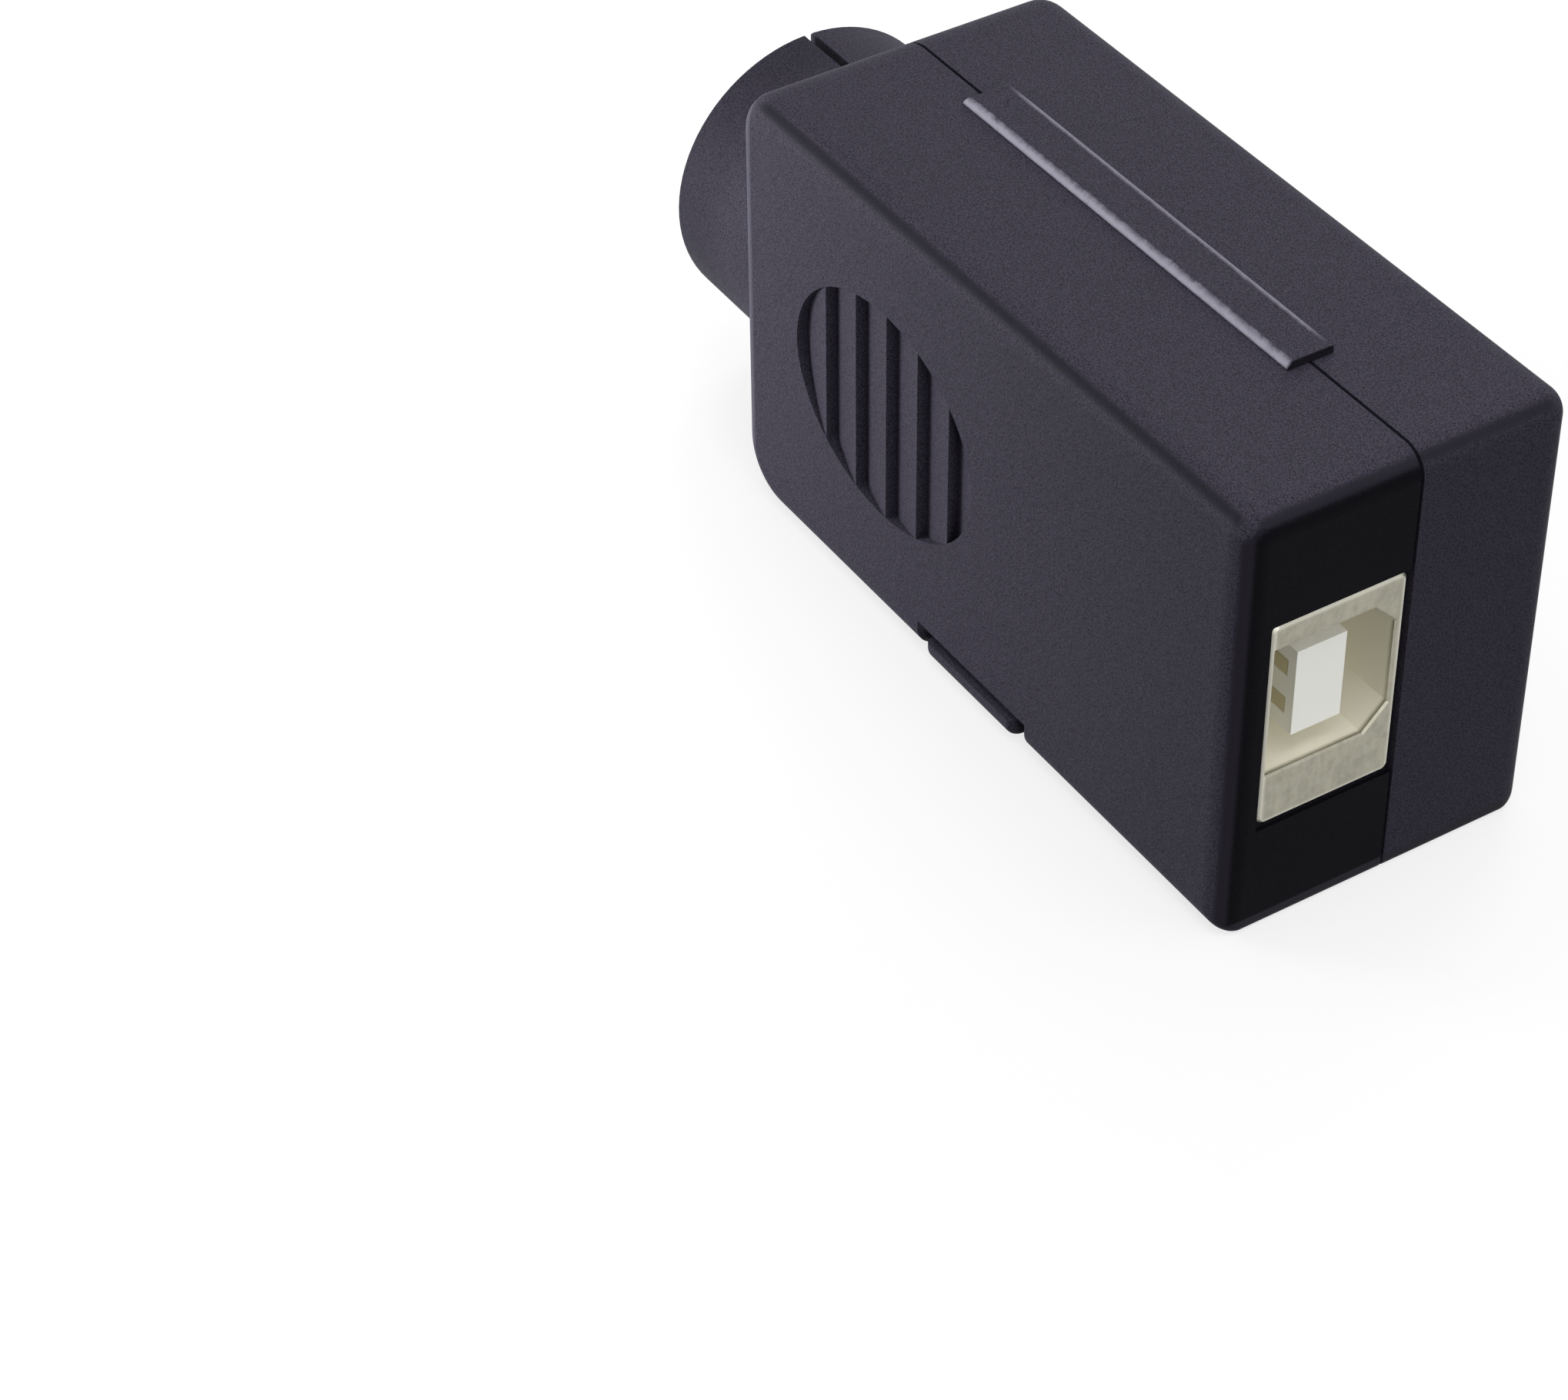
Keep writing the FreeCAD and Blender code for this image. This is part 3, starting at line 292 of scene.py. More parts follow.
def make_painted_edge_light():
    group, source, result = start_group(
        "painted_edge_light",
        [
            ("Back", 0.0),
            ("Front", 0.05),
            ("Side", 0.01),
            ("Bottom", -0.01),
            ("Top", 0.01),
            ("Reach", 0.0016),
            ("Back Reach", 0.003),
        ],
        ["Smooth", "Highlight"],
    )
    place = add_node(group, "ShaderNodeTexCoord")
    axes = add_node(group, "ShaderNodeSeparateXYZ", Vector=place.outputs["Object"])

    def distance(axis, face):
        offset = arithmetic(group, "SUBTRACT", axes.outputs[axis], source.outputs[face])
        return arithmetic(group, "ABSOLUTE", offset)

    def closeness(gap, reach):
        return add_node(
            group,
            "ShaderNodeMapRange",
            Value=gap,
            From_Min=0.0,
            From_Max=source.outputs[reach],
            To_Min=1.0,
            To_Max=0.0,
        ).outputs["Result"]

    def strongest(pairs, low, high, output):
        products = [arithmetic(group, "MULTIPLY", *pair) for pair in pairs]
        edge = products[0]
        for product in products[1:]:
            edge = arithmetic(group, "MAXIMUM", edge, product)
        mask = add_node(
            group,
            "ShaderNodeMapRange",
            {"interpolation_type": "SMOOTHSTEP"},
            Value=edge,
            From_Min=low,
            From_Max=high,
        )
        group.links.new(mask.outputs["Result"], result.inputs[output])

    level = arithmetic(group, "MINIMUM", distance("Z", "Bottom"), distance("Z", "Top"))
    front = closeness(distance("X", "Front"), "Reach")
    across = closeness(distance("Y", "Side"), "Reach")
    upright = closeness(level, "Reach")
    pairs = ((front, across), (across, upright), (front, upright))
    strongest(pairs, SHADE_AND_POLISH_FROM, SHADE_AND_POLISH_TO, "Smooth")
    back = closeness(distance("X", "Back"), "Back Reach")
    back_side = closeness(distance("Y", "Side"), "Back Reach")
    back_top = closeness(distance("Z", "Top"), "Back Reach")
    strongest(((back, back_side), (back, back_top)), HIGHLIGHT_FROM, HIGHLIGHT_TO, "Highlight")
    return group


painted_edge_light = make_painted_edge_light()
print(painted_edge_light.name, "has", len(painted_edge_light.nodes), "nodes")

# %% [markdown]
# Each material starts the same way: a Principled shader with its plain numbers set on its own
# sockets, and the grain group beside it where the surface is moulded. A noise seldom leaves the
# middle of its range, so only that middle is spread over the change of gloss.

# %% Material helpers
PATCH_LOW, PATCH_HIGH = 0.3, 0.7


def start_material(name, roughness, metallic=0.0, specular=0.5):
    """New material with its Principled shader; gives both."""
    material = bpy.data.materials.new(name)
    material.use_nodes = True
    shader = material.node_tree.nodes["Principled BSDF"]
    shader.inputs["Roughness"].default_value = roughness
    shader.inputs["Metallic"].default_value = metallic
    shader.inputs["Specular IOR Level"].default_value = specular
    return material, shader


def add_group(tree, group, **inputs):
    """Group node in a material; inputs are its sockets by name with _ for a space."""
    node = tree.nodes.new("ShaderNodeGroup")
    node.node_tree = group
    for name, entry in inputs.items():
        node.inputs[name.replace("_", " ")].default_value = entry
    return node


def add_bump(tree, shader, height, depth, strength=1.0):
    """Bump from a height socket; depth is the height of a value of 1, in metres."""
    bump = add_node(tree, "ShaderNodeBump", Strength=strength, Distance=depth, Height=height)
    tree.links.new(bump.outputs["Normal"], shader.inputs["Normal"])


def vary_roughness(tree, shader, patches, low, high):
    """Lets the gloss wander between two roughness values with the patches."""
    wander = add_node(
        tree,
        "ShaderNodeMapRange",
        Value=patches,
        From_Min=PATCH_LOW,
        From_Max=PATCH_HIGH,
        To_Min=low,
        To_Max=high,
    )
    tree.links.new(wander.outputs["Result"], shader.inputs["Roughness"])
    return wander.outputs["Result"]


# %% [markdown]
# The shells are satin black plastic with a faint violet cast. Their end faces are painted darker
# than the sides, as painted shade, and round the socket nearly black. The left half of the collar
# is painted darker towards its rim, as painted shade. These places differ only along the length, so
# a list of bands gives where each starts, where it is full, and the share of the plastic's own
# colour that is left there.

# %% Material: black shell plastic
SHELL_TONE = tone(76, 73, 86)
SHELL_TONE_DARK = tone(68, 65, 77)
PIT_TONE = tone(38, 36, 45)
# Painted shade: the dark line along the middle of the rounded edges.
EDGE_SHADE_TONE = tone(38, 36, 43)
# Painted highlight: the edges round the back painted paler.
EDGE_HIGHLIGHT_TONE = tone(108, 105, 118)
EDGE_HIGHLIGHT_SHARE = 0.4
# Painted shade on the end faces, nearly black round the socket: share of the colour left.
SOCKET_END_SHADE_SHARE = 0.05
PLAIN_END_SHADE_SHARE = 0.64
# Painted shade on the left half of the collar: share of the colour left.
COLLAR_SHADE_SHARE = 0.7
WHITENED = tone(170, 167, 182)
SHELL_SHINE = (0.86, 0.8, 1.0, 1.0)
SHELL_ROUGHNESS = 0.58
SHELL_GLOSS = (0.54, 0.64)
SHELL_SPECULAR = 0.035
SHELL_GRAIN_DEPTH = 0.03 * MM
EDGE_POLISH = 0.2
FOLD_RAGGED = 1.1
# Painted shade on the collar: where it starts and where it is full.
COLLAR_SHADE_FADE = (-3.0 * MM, -8.5 * MM)
# Painted shade on the end faces: where it starts and where it is full, from the end.
SOCKET_END_SHADE_FADE = (0.7 * MM, 0.1 * MM)
PLAIN_END_SHADE_FADE = (1.2 * MM, 0.1 * MM)


def add_whitening(tree, colour, lines):
    """Paints whitened fold lines; each is a set of the fold group's inputs."""
    for line in lines:
        fold = add_group(tree, whitened_fold, Ragged=FOLD_RAGGED, **line)
        colour = blend_colour(tree, fold.outputs["Mask"], colour, WHITENED)
    return colour


def add_bands(tree, colour, bands):
    """Paints shade on parts of the length; each band is (start, full, share of the colour left)."""
    place = add_node(tree, "ShaderNodeTexCoord")
    axes = add_node(tree, "ShaderNodeSeparateXYZ", Vector=place.outputs["Object"])
    for begin, full, left in bands:
        share = add_node(
            tree,
            "ShaderNodeMapRange",
            {"interpolation_type": "SMOOTHSTEP"},
            Value=axes.outputs["X"],
            From_Min=min(begin, full),
            From_Max=max(begin, full),
            To_Min=0.0 if full > begin else 1.0,
            To_Max=1.0 if full > begin else 0.0,
        )
        grey = (left, left, left, 1.0)
        colour = blend_colour(tree, share.outputs["Result"], colour, grey, "MULTIPLY")
    return colour


def make_shell_plastic(name, bands=(), side=None, lines=()):
    """Shell plastic; side places the outer face for the painted edge shade and highlight."""
    material, shader = start_material(name, SHELL_ROUGHNESS, specular=SHELL_SPECULAR)
    shader.inputs["Specular Tint"].default_value = SHELL_SHINE
    tree = material.node_tree
    grain = add_group(tree, mould_grain)
    patches = blend_colour(tree, grain.outputs["Patches"], SHELL_TONE_DARK, SHELL_TONE)
    colour = blend_colour(tree, grain.outputs["Speckle"], PIT_TONE, patches)
    colour = add_bands(tree, colour, bands)
    gloss = vary_roughness(tree, shader, grain.outputs["Patches"], *SHELL_GLOSS)
    if side is not None:
        edges = add_group(
            tree,
            painted_edge_light,
            Back=0.0,
            Front=end_x,
            Side=side,
            Bottom=floor_z,
            Top=top_z,
        )
        # Painted shade along the middle of the rounded edges; the same mask makes them glossier.
        colour = blend_colour(tree, edges.outputs["Smooth"], colour, EDGE_SHADE_TONE)
        # Painted highlight: the edges round the back painted paler.
        edge_highlight = arithmetic(tree, "MULTIPLY", edges.outputs["Highlight"], EDGE_HIGHLIGHT_SHARE)
        colour = blend_colour(tree, edge_highlight, colour, EDGE_HIGHLIGHT_TONE)
        polish = arithmetic(tree, "MULTIPLY", edges.outputs["Smooth"], EDGE_POLISH)
        gloss = arithmetic(tree, "SUBTRACT", gloss, polish)
        tree.links.new(gloss, shader.inputs["Roughness"])
    colour = add_whitening(tree, colour, lines)
    tree.links.new(colour, shader.inputs["Base Color"])
    add_bump(tree, shader, grain.outputs["Height"], SHELL_GRAIN_DEPTH)
    print(name, "has", len(tree.nodes), "nodes")
    return material


def end_band(end, fade, share):
    """Band that starts and is full at these two distances from an end."""
    begin, full = fade
    return (end - begin, end - full, share)


# Painted shade on the collar, and on the end face round the socket.
left_plastic = make_shell_plastic(
    "left_shell_plastic",
    bands=[(*COLLAR_SHADE_FADE, COLLAR_SHADE_SHARE), end_band(end_x, SOCKET_END_SHADE_FADE, SOCKET_END_SHADE_SHARE)],
    side=left_low.y,
)
# Painted shade on the plain end face.
right_plastic = make_shell_plastic(
    "right_shell_plastic",
    bands=[end_band(end_x, PLAIN_END_SHADE_FADE, PLAIN_END_SHADE_SHARE)],
    side=right_high.y,
)
tongue_plastic = make_shell_plastic("tongue_plastic")

# %% [markdown]
# The hinge band is the same plastic, thinner. Its left fold has a ragged white line and its right
# fold a narrower and fainter one. Its near end is cut square, and painted dark as painted shade.

# %% Material: hinge band
# Painted shade on the band's near end.
BAND_END_SHADE_FADE = (0.12 * MM, 0.02 * MM)
BAND_END_SHADE_SHARE = 0.25
band_lines = [
    {
        "Across": band_low.y + 0.08 * MM,
        "Half_Width": 0.32 * MM,
        "Core": 0.0,
        "Start": band_low.x - MM,
        "End": band_high.x,
        "Fade": 0.3 * MM,
    },
    {
        "Across": band_high.y - 0.1 * MM,
        "Half_Width": 0.26 * MM,
        "Core": 0.0,
        "Start": band_low.x,
        "End": band_high.x,
        "Fade": 3.0 * MM,
        "Strength": 0.5,
    },
]
band_plastic = make_shell_plastic(
    "hinge_band_plastic",
    bands=[end_band(band_high.x, BAND_END_SHADE_FADE, BAND_END_SHADE_SHARE)],
    lines=band_lines,
)

# %% [markdown]
# The socket's shield is thin plated steel sheet: dull, a little warm, with fine rolling lines. A
# noise stretched along one axis makes the lines. Inside the socket the plating is painted paler and
# less metallic, as painted light on the socket's inner walls.

# %% Material: plated sheet
ROLLING_SCALE = 4200.0
ROLLING_STRETCH = (1.0, 1.0, 0.12)
SHEET_GRAIN_DEPTH = 0.004 * MM
SHEET_GLOSSIER, SHEET_DULLER = 0.06, 0.1
# Painted light on the socket's inner walls: paler and less metallic from here inwards.
MOUTH_START, MOUTH_FULL = 0.1 * MM, 0.5 * MM
MOUTH_LIGHT_TONE = tone(250, 246, 228)
MOUTH_METALLIC = 0.05


def make_plated_sheet(name, light, dark, roughness, metallic=1.0, inside=None):
    """Plated metal; inside is (start, full, tone, metallic) along the length of painted light."""
    material, shader = start_material(name, roughness, metallic=metallic)
    tree = material.node_tree
    place = add_node(tree, "ShaderNodeTexCoord")
    stretch = add_node(tree, "ShaderNodeMapping", Vector=place.outputs["Object"])
    stretch.inputs["Scale"].default_value = ROLLING_STRETCH
    lines = add_node(
        tree,
        "ShaderNodeTexNoise",
        Vector=stretch.outputs["Vector"],
        Scale=ROLLING_SCALE,
        Detail=4.0,
        Roughness=0.6,
    )
    colour = blend_colour(tree, lines.outputs["Fac"], dark, light)
    if inside is not None:
        # Painted light: the inner part is painted paler and less metallic.
        begin, full, shade, inner_metallic = inside
        axes = add_node(tree, "ShaderNodeSeparateXYZ", Vector=place.outputs["Object"])
        share = add_node(
            tree,
            "ShaderNodeMapRange",
            {"interpolation_type": "SMOOTHSTEP"},
            Value=axes.outputs["X"],
            From_Min=full,
            From_Max=begin,
            To_Min=1.0,
            To_Max=0.0,
        )
        colour = blend_colour(tree, share.outputs["Result"], colour, shade)
        shift = inner_metallic - metallic
        metal = arithmetic(tree, "MULTIPLY", share.outputs["Result"], shift)
        metal = arithmetic(tree, "ADD", metal, metallic)
        tree.links.new(metal, shader.inputs["Metallic"])
    tree.links.new(colour, shader.inputs["Base Color"])
    low, high = roughness - SHEET_GLOSSIER, roughness + SHEET_DULLER
    vary_roughness(tree, shader, lines.outputs["Fac"], low, high)
    add_bump(tree, shader, lines.outputs["Fac"], SHEET_GRAIN_DEPTH)
    print(name, "has", len(tree.nodes), "nodes")
    return material


shield_metal = make_plated_sheet(
    "shield_plating",
    tone(178, 175, 160),
    tone(142, 140, 126),
    0.46,
    inside=(
        shield_high.x - MOUTH_START,
        shield_high.x - MOUTH_FULL,
        MOUTH_LIGHT_TONE,
        MOUTH_METALLIC,
    ),
)

# %% [markdown]
# Handling leaves the plate a little blotchy. Its outer rim is painted brighter, as a painted
# highlight along the plate's edges. Both are laid over the plating's colour: a slow noise for the
# blotches, which stop at the mouth of the socket, and for the rim the distance from the middle of
# the plate.

# %% Painted highlight and blotches on the shield's plate
BLOTCH_TONE = tone(128, 127, 112)
RIM_HIGHLIGHT_TONE = tone(226, 224, 212)
RIM_HIGHLIGHT_WIDTH = 0.4 * MM
RIM_HIGHLIGHT_SHARE = 0.75
BLOTCH_SCALE = 1350.0
BLOTCH_FROM, BLOTCH_TO = 0.42, 0.66
BLOTCH_SHARE = 0.4
PLATE_BACK, PLATE_FRONT = 0.3 * MM, 0.1 * MM


def blotch_and_highlight_plate(material, low, high):
    """Blotches, and a painted highlight on the rim, over a plate that fills the box from low to
    high.
    """
    tree = material.node_tree
    shader = tree.nodes["Principled BSDF"]
    colour = shader.inputs["Base Color"].links[0].from_socket
    place = add_node(tree, "ShaderNodeTexCoord")
    axes = add_node(tree, "ShaderNodeSeparateXYZ", Vector=place.outputs["Object"])
    cloud = add_node(
        tree,
        "ShaderNodeTexNoise",
        Vector=place.outputs["Object"],
        Scale=BLOTCH_SCALE,
        Detail=3.0,
        Roughness=0.6,
    )
    blotch = add_node(
        tree,
        "ShaderNodeMapRange",
        Value=cloud.outputs["Fac"],
        From_Min=BLOTCH_FROM,
        From_Max=BLOTCH_TO,
        To_Max=BLOTCH_SHARE,
    )
    outside = add_node(
        tree,
        "ShaderNodeMapRange",
        Value=axes.outputs["X"],
        From_Min=high.x - PLATE_BACK,
        From_Max=high.x - PLATE_FRONT,
    )
    blotch = arithmetic(tree, "MULTIPLY", blotch.outputs["Result"], outside.outputs["Result"])
    colour = blend_colour(tree, blotch, colour, BLOTCH_TONE)
    # Painted highlight along the plate's outer rim.
    nearness = []
    for label, index in (("Y", 1), ("Z", 2)):
        half = (high[index] - low[index]) / 2
        offset = arithmetic(tree, "SUBTRACT", axes.outputs[label], low[index] + half)
        offset = arithmetic(tree, "ABSOLUTE", offset)
        near = add_node(
            tree,
            "ShaderNodeMapRange",
            {"interpolation_type": "SMOOTHSTEP"},
            Value=offset,
            From_Min=half - RIM_HIGHLIGHT_WIDTH,
            From_Max=half,
            To_Max=RIM_HIGHLIGHT_SHARE,
        )
        nearness.append(near.outputs["Result"])
    rim = arithmetic(tree, "MAXIMUM", *nearness)
    colour = blend_colour(tree, rim, colour, RIM_HIGHLIGHT_TONE)
    tree.links.new(colour, shader.inputs["Base Color"])


blotch_and_highlight_plate(shield_metal, shield_low, shield_high)
print(shield_metal.name, "now has", len(shield_metal.node_tree.nodes), "nodes")

# %% [markdown]
# The other metal parts use the same recipe with their own tones and gloss: the crystal's can,
# gold on the contacts of the collar, a paler plating on the socket's contacts, tin on legs and
# caps, and bright solder. The tracks are copper seen through the green mask, so they are green
# and hardly metallic.

# %% Materials: other metal
crystal_metal = make_plated_sheet("crystal_can", tone(205, 206, 208), tone(170, 171, 174), 0.3)
contact_metal = make_plated_sheet(
    "contact_plating", tone(236, 206, 130), tone(204, 170, 96), 0.34, 0.7
)
spring_metal = make_plated_sheet(
    "socket_contacts", tone(228, 220, 192), tone(200, 192, 162), 0.4, 0.6
)
tin_metal = make_plated_sheet(
    "tinned_legs", tone(206, 208, 210), tone(176, 178, 180), 0.34, 0.85
)
solder_metal = make_plated_sheet("solder", tone(196, 198, 200), tone(160, 162, 165), 0.24, 0.9)
copper_mask = make_plated_sheet(
    "tracks_under_mask", tone(60, 140, 84), tone(48, 122, 70), 0.3, 0.2
)

# %% [markdown]
# Moulded inner parts share one recipe: a plain colour that wanders a little with the patches, and
# the mould grain as bump.

# %% Material: moulded inner parts
INNER_GRAIN_SCALE = 5000.0
INNER_PATCH_SCALE = 160.0
INNER_GRAIN_DEPTH = 0.006 * MM
LEAD_GRAIN_DEPTH = 0.002 * MM
INNER_GLOSSIER, INNER_DULLER = 0.05, 0.07


def make_moulded(name, light, dark, roughness, grain_depth=INNER_GRAIN_DEPTH):
    material, shader = start_material(name, roughness)
    tree = material.node_tree
    grain = add_group(
        tree, mould_grain, Grain_Scale=INNER_GRAIN_SCALE, Patch_Scale=INNER_PATCH_SCALE
    )
    colour = blend_colour(tree, grain.outputs["Patches"], dark, light)
    tree.links.new(colour, shader.inputs["Base Color"])
    low, high = roughness - INNER_GLOSSIER, roughness + INNER_DULLER
    vary_roughness(tree, shader, grain.outputs["Patches"], low, high)
    add_bump(tree, shader, grain.outputs["Height"], grain_depth)
    return material


core_plastic = make_moulded("socket_core", tone(254, 254, 248), tone(248, 248, 240), 0.38)
insert_plastic = make_moulded("insert_plastic", tone(44, 44, 48), tone(34, 34, 38), 0.4)
chip_plastic = make_moulded("chip_plastic", tone(40, 40, 43), tone(30, 30, 33), 0.55)
ceramic = make_moulded("ceramic", tone(188, 158, 120), tone(160, 130, 95), 0.35)
resistor_body = make_moulded("resistor_body", tone(34, 34, 40), tone(24, 24, 30), 0.3)
board_mask = make_moulded("board_mask", tone(30, 104, 62), tone(20, 84, 48), 0.3)
lead_covers = [
    make_moulded(f"lead_cover_{word}", light, dark, 0.32, LEAD_GRAIN_DEPTH)
    for word, light, dark in (
        ("red", tone(186, 40, 34), tone(160, 30, 26)),
        ("black", tone(38, 38, 40), tone(28, 28, 30)),
        ("green", tone(46, 132, 70), tone(36, 112, 58)),
        ("white", tone(226, 226, 220), tone(208, 208, 200)),
        ("yellow", tone(222, 182, 50), tone(198, 158, 38)),
    )
]
print("lead covers:", [cover.name for cover in lead_covers])

# %% [markdown]
# Assigning a finish only changes a solid's material slots, never its shape. Alike solids share
# the start of their names, so one table serves them all. The five leads take one colour each.

# %% Dress the solids
def dress(name, material):
    mesh = nodes[name].data
    mesh.materials.clear()
    mesh.materials.append(material)


FINISHES = {
    "left_shell": left_plastic,
    "right_shell": right_plastic,
    "latch_tongue": tongue_plastic,
    "hinge_band": band_plastic,
    "usb_shield": shield_metal,
    "usb_insulator": core_plastic,
    "usb_contact": spring_metal,
    "circuit_board": board_mask,
    "interface_chip": chip_plastic,
    "voltage_regulator": chip_plastic,
    "crystal": crystal_metal,
    "capacitor": ceramic,
    "resistor": resistor_body,
    "contact_insert": insert_plastic,
    "contact_sleeve": contact_metal,
}
for name in nodes:
    if name.startswith("wire_lead"):
        finish = lead_covers[(int(name[-1]) - 1) % len(lead_covers)]
    else:
        finish = next(FINISHES[start] for start in FINISHES if name.startswith(start))
    dress(name, finish)
print("dressed", len(nodes), "solids")

# %% [markdown]
# The board's parts are plain blocks in the model. Their legs, end caps and solder joints are small
# and metal, and are seen when the plug is opened, so they are made here. A loop draws all of one
# kind in bmesh, as one object that rides on the left half with the board. First come the helpers:
# one closes a finished shape and hands it over, one makes a block with broken edges, one sweeps a
# short edge along a path and thickens it, and one turns a profile round an axis along the length.

# %% Helpers for the small pieces
board_face = board_low.x
MERGE_DISTANCE = 0.002 * MM
SPIN_STEPS = 16


def finish_piece(name, shape, material):
    """Makes the shape an object that rides on the left half."""
    bmesh.ops.remove_doubles(shape, verts=shape.verts, dist=MERGE_DISTANCE)
    bmesh.ops.recalc_face_normals(shape, faces=shape.faces)
    mesh = bpy.data.meshes.new(name)
    shape.to_mesh(mesh)
    shape.free()
    mesh.materials.append(material)
    piece = bpy.data.objects.new(name, mesh)
    bpy.context.scene.collection.objects.link(piece)
    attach(piece, "left_half")
    print(name, "has", len(mesh.polygons), "faces")


def add_block(shape, low, high, edge):
    """Block between two corners with its edges broken by two small bevels."""
    corners = bmesh.ops.create_cube(shape, size=1.0)["verts"]
    bmesh.ops.scale(shape, vec=high - low, verts=corners)
    bmesh.ops.translate(shape, vec=(low + high) / 2, verts=corners)
    bmesh.ops.bevel(
        shape,
        geom=list({line for corner in corners for line in corner.link_edges}),
        offset=edge,
        segments=2,
        profile=0.5,
        affect="EDGES",
        material=-1,
    )


def add_strip(shape, start, width, moves, thickness):
    """Bent strip: an edge of this width, pushed along the moves, then thickened."""
    half = width / 2
    tips = [shape.verts.new(start - half), shape.verts.new(start + half)]
    edges = [shape.edges.new(tips)]
    strip = []
    for move in moves:
        grown = bmesh.ops.extrude_edge_only(shape, edges=edges)["geom"]
        tips = [item for item in grown if isinstance(item, bmesh.types.BMVert)]
        bmesh.ops.translate(shape, vec=move, verts=tips)
        edges = [
            item
            for item in grown
            if isinstance(item, bmesh.types.BMEdge) and all(tip in tips for tip in item.verts)
        ]
        strip += [item for item in grown if isinstance(item, bmesh.types.BMFace)]
    bmesh.ops.recalc_face_normals(shape, faces=strip)
    if sum(face.normal.x * face.calc_area() for face in strip) > 0:
        bmesh.ops.reverse_faces(shape, faces=strip)
    bmesh.ops.solidify(shape, geom=strip, thickness=thickness)


def add_turned(shape, centre, profile, stretch=1.0):
    """Round form on the board's back: radius and height pairs, turned round; stretch is across."""
    before = set(shape.verts)
    line = [shape.verts.new(centre + Vector((-height, radius, 0))) for radius, height in profile]
    edges = [shape.edges.new(pair) for pair in zip(line, line[1:])]
    bmesh.ops.spin(
        shape,
        geom=line + edges,
        cent=centre,
        axis=(1, 0, 0),
        angle=math.tau,
        steps=SPIN_STEPS,
        use_merge=True,
    )
    made = [vert for vert in shape.verts if vert not in before]
    bmesh.ops.scale(shape, vec=(1, stretch, 1), verts=made, space=Matrix.Translation(-centre))


# %% [markdown]
# The chip has a row of ten bent legs on each long side. A leg leaves the body at half its height,
# goes down to the board and lies flat on it. It starts a little inside the body, so that no gap
# shows at its root.

# %% Legs of the chip
CHIP_LEGS = 10
CHIP_PITCH = 0.65 * MM
LEG_WIDTH = 0.26 * MM
LEG_THICKNESS = 0.13 * MM
LEG_ROOT = 0.1 * MM
LEG_SHOULDER = 0.3 * MM
LEG_SLOPE = 0.12 * MM
LEG_FOOT = 0.4 * MM


def leg_moves(outward, start_x):
    """Out of the body, down to the board, along it."""
    drop = board_face - LEG_THICKNESS - start_x
    return [
        outward * LEG_SHOULDER,
        outward * LEG_SLOPE + Vector((drop, 0, 0)),
        outward * LEG_FOOT,
    ]


chip_low, chip_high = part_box("interface_chip")
chip_middle = (chip_low + chip_high) / 2
legs = bmesh.new()
for side, face_y in ((-1, chip_low.y), (1, chip_high.y)):
    for place in range(CHIP_LEGS):
        row_z = chip_middle.z + (place - (CHIP_LEGS - 1) / 2) * CHIP_PITCH
        start = Vector((chip_middle.x, face_y - side * LEG_ROOT, row_z))
        moves = leg_moves(Vector((0, side, 0)), start.x)
        add_strip(legs, start, Vector((0, 0, LEG_WIDTH)), moves, LEG_THICKNESS)
finish_piece("chip_legs", legs, tin_metal)

# %% [markdown]
# The regulator has three wider legs on one side, and the end of its cooling tab stands out on
# the other. The legs are bent like the chip's, and the tab is a thin block on the board.

# %% Legs of the regulator
REGULATOR_PITCH = 1.2 * MM
REGULATOR_LEG_WIDTH = 0.5 * MM
TAB_HALF_WIDTH = 0.9 * MM
TAB_THICKNESS = 0.35 * MM
TAB_REACH = 0.28 * MM
TAB_EDGE = 0.04 * MM
regulator_low, regulator_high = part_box("voltage_regulator")
regulator_middle = (regulator_low + regulator_high) / 2
legs = bmesh.new()
for place in (-1, 0, 1):
    leg_y = regulator_middle.y + place * REGULATOR_PITCH
    start = Vector((regulator_middle.x, leg_y, regulator_high.z - LEG_ROOT))
    moves = leg_moves(Vector((0, 0, 1)), start.x)
    add_strip(legs, start, Vector((0, REGULATOR_LEG_WIDTH, 0)), moves, LEG_THICKNESS)
tab_left = regulator_middle.y - TAB_HALF_WIDTH
tab_right = regulator_middle.y + TAB_HALF_WIDTH
add_block(
    legs,
    Vector((board_face - TAB_THICKNESS, tab_left, regulator_low.z - TAB_REACH)),
    Vector((board_face, tab_right, regulator_low.z + LEG_ROOT)),
    TAB_EDGE,
)
finish_piece("regulator_legs", legs, tin_metal)

# %% [markdown]
# Copper tracks run under the green mask and show as faint raised lines. Each one is the same kind
# of strip as a leg, only thin and flat on the board. A route is a start and a few moves across and
# up, in millimetres. The short starting edge leans one way or the other, so that the strip keeps a
# width along level, upright and sloping runs. Where a track would fold over itself, a second one
# goes on from its end.

